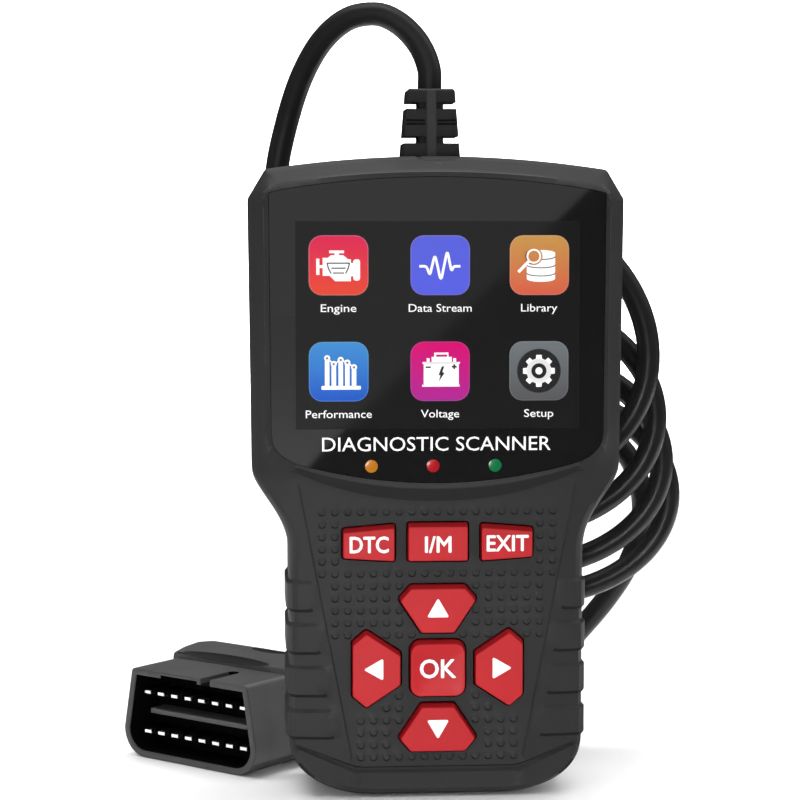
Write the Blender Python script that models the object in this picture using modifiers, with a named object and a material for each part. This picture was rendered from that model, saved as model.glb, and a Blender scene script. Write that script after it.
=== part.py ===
"""Handheld diagnostic code reader with a coiled lead and a 16-pin plug.

Metres, +Z up.  The reader stands on its bottom end with its screen facing -Y.
The origin is at the bottom, in the middle of the reader's own box.
"""

import math

import bmesh
import bpy
from mathutils import Matrix, Vector, geometry

MM = 0.001
GAP = 0.3

# Reader: outline, seen from the front (millimetres)
DEPTH = 24.0
HEIGHT = 131.6
HEAD_HALF = 38.5
HEAD_HALF_LOW = 37.9
BODY_HALF = 30.4
GRIP_HALF = 31.0
FOOT_HALF = 12.0
FOOT_RISE = 12.0
FOOT_POWER = 2.2
GRIP_TOP = 44.9
WAIST_LOW = 49.0
WAIST_HIGH = 68.4
SHOULDER = (34.9, 128.9)
SHOULDER_LOW = 122.9
WALL = 1.8

# Levels along Y, from the front to the back (millimetres)
KEY_FRONT = -12.0
FACE = -11.3
PAD = -10.6
LENS_FRONT = -11.2
LENS_BACK = -10.3
SEAT = -9.6
HEAD_INSIDE = -8.4
PAD_INSIDE = -9.0
SPLIT = 2.0
BACK_INSIDE = 10.2
BACK = 12.0

# Display
SCREEN_CENTRE_Z = 97.4
SCREEN_SIZE = (57.6, 43.2)
MODULE_SIZE = (69.2, 50.0)
LENS_HALF = 34.3
LENS_TOP_SIDE = 124.3
LENS_TOP = 127.4
LENS_CORNER_Z = 75.2
LENS_BOTTOM = 65.1
LAMP_X = (-13.6, -1.0, 11.7)
LAMP_Z = 68.7
LAMP_RADIUS = 1.3

# Keys
KEY_TRAVEL = 0.8
KEY_BACK = -7.9
FLANGE = 0.5
DPAD_Z = 26.95
ARROW = ((3.4, 7.3), (8.1, 14.4), (5.6, 17.3))
OK_HALF = (5.7, 5.85)
TOP_KEYS = {
    "key_codes": ((-19.5, 49.8), (-8.8, 49.1), (-8.8, 56.8), (-19.5, 55.9)),
    "key_test": ((-6.2, 49.1), (6.2, 49.1), (6.2, 57.0), (-6.2, 57.0)),
    "key_exit": ((8.8, 49.1), (19.5, 49.8), (19.5, 55.9), (8.8, 56.8)),
}

# Fastenings
SCREW_PLACES = ((-26.5, 126.0), (26.5, 126.0), (-23.5, 11.8), (23.5, 11.8))
BOARD_SCREW_PLACES = ((-23.0, 61.5), (23.0, 61.5))

# Strain relief
RELIEF_X = -0.9
RELIEF_BOTTOM = 132.0
RELIEF_TOP = 145.5

# Lead: one cord from the strain relief, through the coil, to the plug
CORD_RADIUS = 2.5
COIL_PITCH = 5.3
COIL_FIRST_Y = 16.5
COIL_START = -0.3
COIL_END = 3.72
COIL_FIRST_ANGLE = math.radians(97.0)
ARCH_ROUTE = (
    (-0.9, 0.0, 145.9), (-1.0, 0.0, 149.6), (-2.7, 0.8, 154.2), (-5.9, 2.0, 158.2),
    (-9.8, 3.3, 160.7), (-13.2, 4.6, 161.2), (-17.2, 6.2, 160.4), (-21.2, 8.2, 157.6),
    (-24.5, 10.2, 153.4), (-27.6, 12.5, 147.0), (-30.2, 14.4, 138.6), (-32.1, 15.2, 129.6),
    (-32.3, 15.2, 121.5), (-28.8, 15.2, 114.3), (-21.5, 15.1, 110.0), (-13.5, 15.1, 109.8),
)
TAIL_ROUTE = (
    (29.0, 41.7, 73.5), (39.5, 42.0, 71.6), (47.8, 42.6, 65.5), (51.6, 43.3, 57.0),
    (51.8, 44.2, 47.8), (49.0, 45.5, 38.8), (44.4, 47.4, 30.8), (38.6, 50.0, 23.0),
    (33.0, 53.2, 15.8), (27.2, 57.4, 9.6), (21.0, 62.0, 5.3), (14.0, 66.4, 3.0),
    (7.0, 69.0, 2.9), (0.0, 69.2, 4.3), (-6.5, 67.2, 6.7), (-12.0, 63.6, 9.0),
    (-16.5, 59.4, 10.2), (-20.0, 55.4, 10.5),
)

# Plug, in its own frame: mouth towards -Y, standing on the floor
PLUG_PLACE = (-51.9, 18.6)
PLUG_TURN = math.radians(-41.0)
PLUG_HALF_WIDE = 19.25
PLUG_HALF_TOP = 16.8
PLUG_HEIGHT = 19.8
PLUG_WALL = 1.5
SHROUD_DEPTH = 14.0
SHROUD_CAVITY = 11.5
PIN_PITCH = 4.0
PIN_SIZE = (1.6, 0.9)
PIN_FRONT = 2.0
PIN_BACK = 11.2
PIN_ROWS = (14.3, 5.5)
BLOCK_FRONT = 7.9
RIB_FRONT = 7.0
RIB_Z = (9.3, 10.5)
OVERMOLD_BACK = 34.0
RELIEF_END = 48.0
PLUG_EXIT_Z = 10.5

SHELL_GREY = (0.042, 0.042, 0.044, 1.0)
KEY_RED = (0.56, 0.035, 0.048, 1.0)
LEAD_BLACK = (0.012, 0.012, 0.013, 1.0)
LENS_BLACK = (0.008, 0.008, 0.009, 1.0)


def clear_scene():
    """Remove every object and leave two fresh collections."""
    for item in list(bpy.data.objects):
        bpy.data.objects.remove(item, do_unlink=True)
    made = []
    for name in ("obd_code_reader", "cutters"):
        collection = bpy.data.collections.new(name)
        bpy.context.scene.collection.children.link(collection)
        made.append(collection)
    return made


def finish_material(name, colour, roughness, metallic=0.0):
    """Return a Principled material, made once for each name."""
    material = bpy.data.materials.get(name)
    if material:
        return material
    material = bpy.data.materials.new(name)
    material.use_nodes = True
    shader = material.node_tree.nodes["Principled BSDF"]
    shader.inputs["Base Color"].default_value = colour
    shader.inputs["Roughness"].default_value = roughness
    shader.inputs["Metallic"].default_value = metallic
    return material


# ---------------------------------------------------------------- shapes

def box(bm, x, y, z):
    """Add a box between pairs of limits in millimetres."""
    size = [(high - low) * MM for low, high in (x, y, z)]
    middle = [(high + low) / 2 * MM for low, high in (x, y, z)]
    matrix = Matrix.Translation(middle) @ Matrix.Diagonal((*size, 1.0))
    bmesh.ops.create_cube(bm, size=1.0, matrix=matrix)


def rod(bm, start, end, radius, end_radius=None, sides=12):
    """Add a capped cylinder or cone between two points in millimetres."""
    start, end = Vector(start) * MM, Vector(end) * MM
    turn = (end - start).to_track_quat("Z", "Y").to_matrix().to_4x4()
    bmesh.ops.create_cone(
        bm, cap_ends=True, segments=sides, radius1=radius * MM,
        radius2=(radius if end_radius is None else end_radius) * MM, depth=(end - start).length,
        matrix=Matrix.Translation((start + end) / 2) @ turn)


def loft(bm, rings, hollow=False):
    """Join rings of equal length.  A hollow loft closes on its first ring, the others are capped."""
    loops = [[bm.verts.new(Vector(point) * MM) for point in ring] for ring in rings]
    pairs = list(zip(loops, loops[1:]))
    if hollow:
        pairs.append((loops[-1], loops[0]))
    count = len(loops[0])
    for lower, upper in pairs:
        for i in range(count):
            j = (i + 1) % count
            bm.faces.new((lower[i], lower[j], upper[j], upper[i]))
    if not hollow:
        bm.faces.new(loops[0])
        bm.faces.new(loops[-1])
    bmesh.ops.recalc_face_normals(bm, faces=bm.faces)


def prism(bm, outline, y_low, y_high):
    """Add an outline in X and Z, extruded along Y."""
    loft(bm, [[(x, y, z) for x, z in outline] for y in (y_low, y_high)])


def offset(outline, distance):
    """Move each edge of an anticlockwise outline outward by a distance."""
    moved = []
    count = len(outline)
    for i in range(count):
        before, here, after = (Vector(outline[k % count]) for k in (i - 1, i, i + 1))
        first = (here - before).normalized()
        second = (after - here).normalized()
        out_a = Vector((first.y, -first.x))
        out_b = Vector((second.y, -second.x))
        bisector = (out_a + out_b).normalized()
        moved.append(tuple(here + bisector * (distance / bisector.dot(out_a))))
    return moved


def mirrored(right):
    """Close a right-hand outline, which runs from bottom to top, with its mirror image."""
    left = [(-x, z) for x, z in reversed(right) if x > 1e-6]
    return list(right) + left


def smooth_route(points, spacing):
    """Read a smooth curve through the points at about equal spacing, in millimetres."""
    points = [Vector(p) for p in points]
    padded = [points[0] * 2 - points[1]] + points + [points[-1] * 2 - points[-2]]
    dense = []
    for a, b, c, d in zip(padded, padded[1:], padded[2:], padded[3:]):
        handle = (b.lerp(c, 1 / 3)) if a == b else b + (c - a) / 6
        other = c - (d - b) / 6
        dense += geometry.interpolate_bezier(b, handle, other, c, 12)[:-1]
    dense.append(points[-1])
    total = sum((q - p).length for p, q in zip(dense, dense[1:]))
    steps = max(2, round(total / spacing))
    read = [dense[0]]
    walked = 0.0
    for p, q in zip(dense, dense[1:]):
        walked += (q - p).length
        if walked >= total / steps * len(read) and len(read) < steps:
            read.append(q)
    return read + [dense[-1]]


# ---------------------------------------------------------------- objects

def add_object(name, bm, material, collection, parent=None, origin=(0, 0, 0)):
    """Make an object from a bmesh whose points are given in its parent's frame."""
    shift = Vector(origin) * MM
    bmesh.ops.translate(bm, verts=bm.verts, vec=-shift)
    mesh = bpy.data.meshes.new(name)
    bm.to_mesh(mesh)
    bm.free()
    mesh.materials.append(material)
    item = bpy.data.objects.new(name, mesh)
    item.location = shift
    item.parent = parent
    collection.objects.link(item)
    return item


def add_boolean(item, bm, operation, label):
    """Give an object a Boolean modifier with its own wire cutter."""
    mesh = bpy.data.meshes.new(f"{item.name}_{label}")
    bm.to_mesh(mesh)
    bm.free()
    cutter = bpy.data.objects.new(f"{item.name}_{label}", mesh)
    cutter.parent = item.parent
    cutter.hide_render = True
    cutter.display_type = "WIRE"
    CUTTERS.objects.link(cutter)
    modifier = item.modifiers.new(label, "BOOLEAN")
    modifier.operation = operation
    modifier.solver = "EXACT"
    modifier.object = cutter


def bevel_rim(item, level, width, segments):
    """Round the edges of a prism that lie on one level of Y."""
    mesh = item.data
    weights = mesh.attributes.new("bevel_weight_edge", "FLOAT", "EDGE")
    for edge in mesh.edges:
        ends = [mesh.vertices[v].co.y for v in edge.vertices]
        on_level = all(abs(end - level * MM) < 1e-6 for end in ends)
        weights.data[edge.index].value = 1.0 if on_level else 0.0
    modifier = item.modifiers.new("rim", "BEVEL")
    modifier.limit_method = "WEIGHT"
    modifier.width = width * MM
    modifier.segments = segments
    modifier.use_clamp_overlap = False


def shade_round(item, degrees=40):
    """Shade smooth, keeping the edges sharper than an angle."""
    item.data.shade_smooth()
    item.data.set_sharp_from_angle(angle=math.radians(degrees))


# ---------------------------------------------------------------- reader outline

def waist_half(z):
    """Half width of the waist, which swells late and then meets the head squarely."""
    t = ((z - WAIST_LOW) / (WAIST_HIGH - WAIST_LOW)) ** 1.4
    ease = t * t * (3 - 2 * t)
    return BODY_HALF + (HEAD_HALF_LOW - BODY_HALF) * ease


def top_z(x):
    """Height of the arched top edge."""
    rise = HEIGHT - SHOULDER[1]
    radius = (SHOULDER[0] ** 2 + rise ** 2) / (2 * rise)
    return HEIGHT - radius + math.sqrt(radius ** 2 - x ** 2)


def reader_outline():
    """Outline of the reader, anticlockwise from the bottom."""
    right = [(0.0, 0.0), (FOOT_HALF, 0.0)]
    for step in range(1, 9):
        across = math.sin(math.radians(90 * step / 8))
        up = 1 - (1 - across ** FOOT_POWER) ** (1 / FOOT_POWER)
        right.append((FOOT_HALF + (GRIP_HALF - FOOT_HALF) * across, FOOT_RISE * up))
    right += [(GRIP_HALF, GRIP_TOP), (BODY_HALF, GRIP_TOP + 0.8), (BODY_HALF, WAIST_LOW)]
    for step in range(1, 8):
        z = WAIST_LOW + (WAIST_HIGH - WAIST_LOW) * step / 7
        right.append((waist_half(z), z))
    right += [(HEAD_HALF, SHOULDER_LOW), SHOULDER]
    right += [(SHOULDER[0] * k / 5, top_z(SHOULDER[0] * k / 5)) for k in (4, 3, 2, 1)]
    right.append((0.0, HEIGHT))
    return mirrored(right)


def lens_outline():
    """Outline of the lens seat: arched top, rounded lower corners, curved bottom edge."""
    right = [(27.6 * k / 4, LENS_BOTTOM + 3.7 * (k / 4) ** 2) for k in range(5)]
    right += [(31.1, 70.2), (33.0, 72.0), (34.0, LENS_CORNER_Z), (LENS_HALF, LENS_TOP_SIDE)]
    for k in (4, 3, 2, 1):
        share = k / 5
        right.append((LENS_HALF * share, LENS_TOP - (LENS_TOP - LENS_TOP_SIDE) * share ** 2))
    right.append((0.0, LENS_TOP))
    return mirrored(right)


def pad_outline():
    """Outline of the sunk keypad panel, which narrows towards the chin."""
    right = [(0.0, 7.6), (16.2, 7.6), (19.6, 22.0), (24.4, 44.0), (29.3, 64.6)]
    right += [(22.0, 63.3), (11.0, 62.0), (0.0, 61.6)]
    return mirrored(right)


def groove_boxes(bm):
    """Add the boxes that cut the grooves between the four grip ribs on each side."""
    for rib in range(3):
        top = 39.0 - 8.83 * rib
        for side in (-1, 1):
            x = sorted((side * (BODY_HALF - 0.1), side * (GRIP_HALF + 2)))
            box(bm, x, (-14, 14), (top - 2.8, top))


# ---------------------------------------------------------------- housing

def arrow_outline(direction):
    """Outline of an arrow key: direction 0 is up, and each step turns it a quarter left."""
    half = [(x, z) for x, z in ARROW]
    outline = [(-half[0][0], half[0][1])] + half + [(-x, z) for x, z in reversed(half[1:])]
    reach = 0.3 if direction % 2 else 0.0
    turn = Matrix.Rotation(math.radians(90 * direction), 2)
    points = []
    for x, z in outline:
        u, v = turn @ Vector((x, z + reach))
        points.append((u, v + DPAD_Z))
    return points


def key_outlines():
    """Every key's outline, anticlockwise."""
    outlines = dict(TOP_KEYS)
    for step, name in enumerate(("key_up", "key_left", "key_down", "key_right")):
        outlines[name] = arrow_outline(step)
    half_x, half_z = OK_HALF
    corner = 1.9
    outline = []
    for sx, sz in ((1, -1), (1, 1), (-1, 1), (-1, -1)):
        ends = [(sx * half_x, DPAD_Z + sz * (half_z - corner)),
                (sx * (half_x - corner), DPAD_Z + sz * half_z)]
        outline += ends if sx == sz else ends[::-1]
    outlines["key_ok"] = outline
    return outlines


def make_front_shell(collection, material):
    """Front shell: bevelled rim, lens seat, window, keypad panel, bosses and openings."""
    outline = reader_outline()
    bm = bmesh.new()
    prism(bm, outline, FACE, SPLIT - GAP / 2)
    shell = add_object("front_shell", bm, material, collection)
    bevel_rim(shell, FACE, 4.0, 2)

    inner = offset(outline, -WALL)
    bm = bmesh.new()
    prism(bm, inner, -3.0, SPLIT + 1)
    add_boolean(shell, bm, "DIFFERENCE", "cavity")

    bm = bmesh.new()
    raised = [(x, max(z, 7.6)) for x, z in inner if abs(x) > 1e-6 or z > 10]
    prism(bm, raised, HEAD_INSIDE, -2.9)
    add_boolean(shell, bm, "DIFFERENCE", "front_cavity")

    bm = bmesh.new()
    prism(bm, lens_outline(), FACE - 2, SEAT)
    prism(bm, pad_outline(), FACE - 2, PAD)
    chin = [(-13.0, 6.8), (-13.0, -1.0), (-3.8, -1.0)]
    loft(bm, [[(x, y, z) for y, z in chin] for x in (-45, 45)])
    groove_boxes(bm)
    add_boolean(shell, bm, "DIFFERENCE", "face_cuts")

    bm = bmesh.new()
    for x, z in SCREW_PLACES:
        rod(bm, (x, HEAD_INSIDE - 0.3, z), (x, SPLIT - GAP / 2, z), 2.6)
    for x, z in BOARD_SCREW_PLACES:
        rod(bm, (x, HEAD_INSIDE - 0.3, z), (x, -4.9, z), 2.2)
    add_boolean(shell, bm, "UNION", "bosses")

    bm = bmesh.new()
    for x, z in SCREW_PLACES:
        rod(bm, (x, -6.5, z), (x, SPLIT + 1, z), 1.45)
    for x, z in BOARD_SCREW_PLACES:
        rod(bm, (x, -7.9, z), (x, -4, z), 1.05)
    for x in LAMP_X:
        rod(bm, (x, SEAT - 1, LAMP_Z), (x, HEAD_INSIDE + 1, LAMP_Z), LAMP_RADIUS + GAP)
    half_x, half_z = 30.0, 22.6
    box(bm, (-half_x, half_x), (SEAT - 1, HEAD_INSIDE + 1),
        (SCREEN_CENTRE_Z - half_z, SCREEN_CENTRE_Z + half_z))
    box(bm, (-20.8, 20.8), (PAD_INSIDE, HEAD_INSIDE + 0.2), (8.6, 58.2))
    rod(bm, (RELIEF_X, 0, 126), (RELIEF_X, 0, 134), 3.3)
    add_boolean(shell, bm, "DIFFERENCE", "holes")

    bm = bmesh.new()
    for outline in key_outlines().values():
        prism(bm, offset(outline, GAP), FACE - 2, PAD_INSIDE + 0.2)
    add_boolean(shell, bm, "DIFFERENCE", "key_openings")
    shade_round(shell)


def make_back_shell(collection, material):
    """Back shell: rounded rim, hollow inside, four screw bosses."""
    outline = reader_outline()
    bm = bmesh.new()
    prism(bm, outline, SPLIT + GAP / 2, BACK)
    shell = add_object("back_shell", bm, material, collection)
    bevel_rim(shell, BACK, 3.0, 2)

    for label, inset, start, end in (("cavity", WALL, SPLIT - 1, 7.6),
                                     ("floor", WALL + 2.4, 7.4, BACK_INSIDE)):
        bm = bmesh.new()
        prism(bm, offset(outline, -inset), start, end)
        add_boolean(shell, bm, "DIFFERENCE", label)

    bm = bmesh.new()
    for x, z in SCREW_PLACES:
        rod(bm, (x, SPLIT + GAP / 2, z), (x, BACK_INSIDE + 0.4, z), 3.4)
    add_boolean(shell, bm, "UNION", "bosses")

    bm = bmesh.new()
    groove_boxes(bm)
    for x, z in SCREW_PLACES:
        rod(bm, (x, 0, z), (x, 9.2, z), 1.45)
    rod(bm, (RELIEF_X, 0, 126), (RELIEF_X, 0, 134), 3.3)
    add_boolean(shell, bm, "DIFFERENCE", "holes")

    bm = bmesh.new()
    for x, z in SCREW_PLACES:
        rod(bm, (x, 8.8, z), (x, BACK + 1, z), 2.8)
    add_boolean(shell, bm, "DIFFERENCE", "counterbores")
    shade_round(shell)


def make_screws(collection, steel):
    """Housing screws from the back, and the screws that hold the board."""
    for number, (x, z) in enumerate(SCREW_PLACES, 1):
        bm = bmesh.new()
        rod(bm, (x, -6.0, z), (x, 9.6, z), 1.1, sides=10)
        screw = add_object(f"housing_screw_{number}", bm, steel, collection)
        bm = bmesh.new()
        rod(bm, (x, 9.1, z), (x, 10.9, z), 2.4)
        add_boolean(screw, bm, "UNION", "head")
    for number, (x, z) in enumerate(BOARD_SCREW_PLACES, 1):
        bm = bmesh.new()
        rod(bm, (x, -7.4, z), (x, -2.6, z), 0.7, sides=8)
        screw = add_object(f"board_screw_{number}", bm, steel, collection)
        bm = bmesh.new()
        rod(bm, (x, -2.9, z), (x, -1.7, z), 1.8, sides=10)
        add_boolean(screw, bm, "UNION", "head")


# ---------------------------------------------------------------- display and electronics

def make_display(collection):
    """Lens, adhesive frame, panel, backlight tray and ribbon."""
    gloss = finish_material("lens_gloss", LENS_BLACK, 0.08)
    glue = finish_material("adhesive", (0.02, 0.02, 0.02, 1), 0.8)
    glass = finish_material("panel_glass", (0.01, 0.012, 0.015, 1), 0.15)
    tray = finish_material("backlight_tray", (0.6, 0.6, 0.6, 1), 0.4, 0.6)
    ribbon = finish_material("ribbon", (0.45, 0.2, 0.04, 1), 0.5)

    bm = bmesh.new()
    prism(bm, offset(lens_outline(), -GAP), LENS_FRONT, LENS_BACK)
    lens = add_object("display_lens", bm, gloss, collection)
    bm = bmesh.new()
    for x in LAMP_X:
        rod(bm, (x, LENS_FRONT - 1, LAMP_Z), (x, LENS_BACK + 1, LAMP_Z), LAMP_RADIUS + GAP)
    add_boolean(lens, bm, "DIFFERENCE", "lamp_holes")

    bm = bmesh.new()
    prism(bm, offset(lens_outline(), -0.9), LENS_BACK + 0.25, SEAT - 0.25)
    frame = add_object("lens_adhesive", bm, glue, collection)
    bm = bmesh.new()
    box(bm, (-30.0, 30.0), (LENS_BACK - 1, SEAT + 1),
        (SCREEN_CENTRE_Z - 22.6, SCREEN_CENTRE_Z + 22.6))
    for x in LAMP_X:
        rod(bm, (x, LENS_BACK - 1, LAMP_Z), (x, SEAT + 1, LAMP_Z), LAMP_RADIUS + GAP)
    add_boolean(frame, bm, "DIFFERENCE", "window")

    half_x, half_z = MODULE_SIZE[0] / 2, MODULE_SIZE[1] / 2
    z_limits = (SCREEN_CENTRE_Z - half_z, SCREEN_CENTRE_Z + half_z)
    bm = bmesh.new()
    box(bm, (-half_x, half_x), (HEAD_INSIDE + GAP, -7.0), z_limits)
    add_object("lcd_panel", bm, glass, collection)
    bm = bmesh.new()
    box(bm, (-half_x, half_x), (-6.7, -5.2), z_limits)
    add_object("lcd_backlight", bm, tray, collection)
    bm = bmesh.new()
    box(bm, (half_x + GAP, half_x + 0.9), (-7.9, -3.6),
        (SCREEN_CENTRE_Z - 9, SCREEN_CENTRE_Z + 9))
    add_object("lcd_ribbon", bm, ribbon, collection)


def make_lamps(collection):
    """Three light pipes that pass through the lens, each with its LED behind."""
    colours = {"amber": (0.6, 0.25, 0.01, 1), "red": (0.5, 0.01, 0.015, 1),
               "green": (0.005, 0.22, 0.07, 1)}
    for x, (name, colour) in zip(LAMP_X, colours.items()):
        finish = finish_material(f"lamp_{name}", colour, 0.25)
        bm = bmesh.new()
        rod(bm, (x, LENS_FRONT + 0.1, LAMP_Z), (x, -6.0, LAMP_Z), LAMP_RADIUS)
        shade_round(add_object(f"light_pipe_{name}", bm, finish, collection))
        bm = bmesh.new()
        box(bm, (x - 1.0, x + 1.0), (-5.7, -4.9), (LAMP_Z - 0.6, LAMP_Z + 0.6))
        add_object(f"led_{name}", bm, finish, collection)


def make_board(collection):
    """Main board with its chips, buzzer and lead header on the back."""
    green = finish_material("circuit_board", (0.01, 0.09, 0.035, 1), 0.45)
    chip = finish_material("chip_black", (0.015, 0.015, 0.016, 1), 0.5)
    white = finish_material("header_white", (0.7, 0.68, 0.6, 1), 0.5)
    outline = mirrored([(0.0, 16.2), (27.4, 16.2), (27.4, 60.0), (33.4, 67.0), (33.4, 121.4),
                        (0.0, 121.4)])
    bm = bmesh.new()
    prism(bm, outline, -4.6, -3.2)
    board = add_object("main_board", bm, green, collection)
    bm = bmesh.new()
    for x, z in BOARD_SCREW_PLACES:
        rod(bm, (x, -6, z), (x, -2, z), 1.05)
    add_boolean(board, bm, "DIFFERENCE", "screw_holes")

    on_board = -3.2 + GAP
    chips = {"microcontroller": ((-7, 7), 1.4, (60, 74)), "flash_memory": ((13, 18), 1.5, (64, 70)),
             "can_transceiver": ((-17, -12), 1.5, (88, 92))}
    for name, (x, height, z) in chips.items():
        bm = bmesh.new()
        box(bm, x, (on_board, on_board + height), z)
        add_object(name, bm, chip, collection)
    bm = bmesh.new()
    rod(bm, (17, on_board, 38), (17, on_board + 5, 38), 6.0, sides=20)
    shade_round(add_object("buzzer", bm, chip, collection))
    bm = bmesh.new()
    box(bm, (RELIEF_X - 8, RELIEF_X + 8), (on_board, 2.6), (100, 107))
    add_object("cable_header", bm, white, collection)


def make_keypad(collection):
    """Rubber mat with a dome under each key, and the eight keys."""
    rubber = finish_material("mat_rubber", (0.03, 0.03, 0.032, 1), 0.8)
    red = finish_material("key_red", KEY_RED, 0.42)
    outlines = key_outlines()
    bm = bmesh.new()
    box(bm, (-20.2, 20.2), (-5.8, -4.9), (9.2, 58.0))
    mat = add_object("keypad_membrane", bm, rubber, collection)
    bm = bmesh.new()
    for outline in outlines.values():
        middle = sum((Vector(p) for p in outline), Vector((0, 0))) / len(outline)
        rod(bm, (middle.x, -6.8, middle.y), (middle.x, -5.4, middle.y), 2.4)
    add_boolean(mat, bm, "UNION", "domes")

    for name, outline in outlines.items():
        middle = sum((Vector(p) for p in outline), Vector((0, 0))) / len(outline)
        bm = bmesh.new()
        rise = offset(outline, -0.5)
        loft(bm, [[(x, KEY_BACK - 0.4, z) for x, z in outline],
                  [(x, KEY_FRONT + 0.5, z) for x, z in outline],
                  [(x, KEY_FRONT, z) for x, z in rise]])
        key = add_object(name, bm, red, collection, origin=(middle.x, KEY_FRONT, middle.y))
        bm = bmesh.new()
        prism(bm, offset(outline, FLANGE), KEY_BACK - 0.8, KEY_BACK)
        add_boolean(key, bm, "UNION", "flange")


# ---------------------------------------------------------------- lead

def make_strain_relief(collection, material):
    """Slotted, tapered strain relief with a neck and a flange held inside the shells."""
    def ring(z, half_x, half_y):
        cut = 1.6
        corners = ((half_x, -half_y + cut), (half_x, half_y - cut), (half_x - cut, half_y),
                   (-half_x + cut, half_y), (-half_x, half_y - cut), (-half_x, -half_y + cut),
                   (-half_x + cut, -half_y), (half_x - cut, -half_y))
        return [(RELIEF_X + x, y, z) for x, y in corners]

    bm = bmesh.new()
    loft(bm, [ring(RELIEF_BOTTOM, 6.2, 5.3), ring(RELIEF_TOP - 0.5, 5.2, 4.5),
              ring(RELIEF_TOP, 4.8, 4.1)])
    relief = add_object("strain_relief", bm, material, collection)
    bm = bmesh.new()
    for low, high in ((134.2, 135.6), (141.1, 142.4)):
        for side in (-1, 1):
            limits = sorted((RELIEF_X + side * 2.8, RELIEF_X + side * 8.0))
            box(bm, limits, (-7, 7), (low, high))
    for side in (-1, 1):
        box(bm, (RELIEF_X - 4.2, RELIEF_X + 4.2), sorted((side * 3.0, side * 7.0)), (137.9, 138.8))
    add_boolean(relief, bm, "DIFFERENCE", "slots")
    bm = bmesh.new()
    rod(bm, (RELIEF_X, 0, 128.0), (RELIEF_X, 0, RELIEF_BOTTOM + 1), 3.0)
    add_boolean(relief, bm, "UNION", "neck")
    bm = bmesh.new()
    rod(bm, (RELIEF_X, 0, 127.0), (RELIEF_X, 0, 129.4), 4.6)
    add_boolean(relief, bm, "UNION", "flange")


def coil_centre(turn):
    """Middle of the coil where the cord has made this many turns: it sinks as it leaves the back."""
    return (19.3 + 2.6 * turn, COIL_FIRST_Y + COIL_PITCH * turn, 32.0 + 57.0 * 0.76 ** turn)


def coil_radii(turn):
    """Half width and half height of the turns, which grow flatter down the coil."""
    return 29.0, 21.0 + 4.0 * math.exp(-2.1 * turn)


def make_coil(collection, material):
    """One closed ring that fills the outer shape of the leaning coil."""
    sides = 28
    wall = CORD_RADIUS + 0.2
    turns = [COIL_START, COIL_START, 0.0, 0.5, 1.0, 2.0, 3.0, COIL_END, COIL_END]
    rings = {1: [], -1: []}
    for place, turn in enumerate(turns):
        x, y, z = coil_centre(turn)
        if place == 0:
            y = BACK + 0.5
        if place == len(turns) - 1:
            y += CORD_RADIUS
        half_x, half_z = coil_radii(turn)
        for side in (1, -1):
            ring = []
            for step in range(sides):
                angle = math.tau * step / sides
                ring.append((x + (half_x + side * wall) * math.cos(angle), y,
                             z + (half_z + side * wall) * math.sin(angle)))
            rings[side].append(ring)
    bm = bmesh.new()
    loft(bm, rings[1] + rings[-1][::-1], hollow=True)
    shade_round(add_object("cable_coil", bm, material, collection))


def make_tube(name, route, radius, material, collection, resolution=2, spacing=7.0):
    """Round cord along a route, as a filled curve of straight pieces."""
    curve = bpy.data.curves.new(name, "CURVE")
    curve.dimensions = "3D"
    curve.bevel_depth = radius * MM
    curve.bevel_resolution = resolution
    curve.use_fill_caps = True
    curve.render_resolution_u = 0
    points = smooth_route(route, spacing)
    spline = curve.splines.new("POLY")
    spline.points.add(len(points) - 1)
    for point, place in zip(spline.points, points):
        point.co = (*(place * MM), 1.0)
    spline.use_smooth = True
    curve.materials.append(material)
    collection.objects.link(bpy.data.objects.new(name, curve))


# ---------------------------------------------------------------- plug

def plug_section(grow=0.0, lift=0.0):
    """Outline of the plug across its axis: wide rounded bottom, narrower top."""
    right = [(0.0, 0.0), (PLUG_HALF_WIDE - 4.6, 0.0), (PLUG_HALF_WIDE - 1.9, 1.2),
             (PLUG_HALF_WIDE - 0.3, 3.6), (PLUG_HALF_WIDE, 6.2), (PLUG_HALF_TOP + 0.1, 19.0),
             (PLUG_HALF_TOP - 0.7, PLUG_HEIGHT), (0.0, PLUG_HEIGHT)]
    outline = offset(mirrored(right), grow)
    return [(x, z + lift) for x, z in outline]


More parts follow.
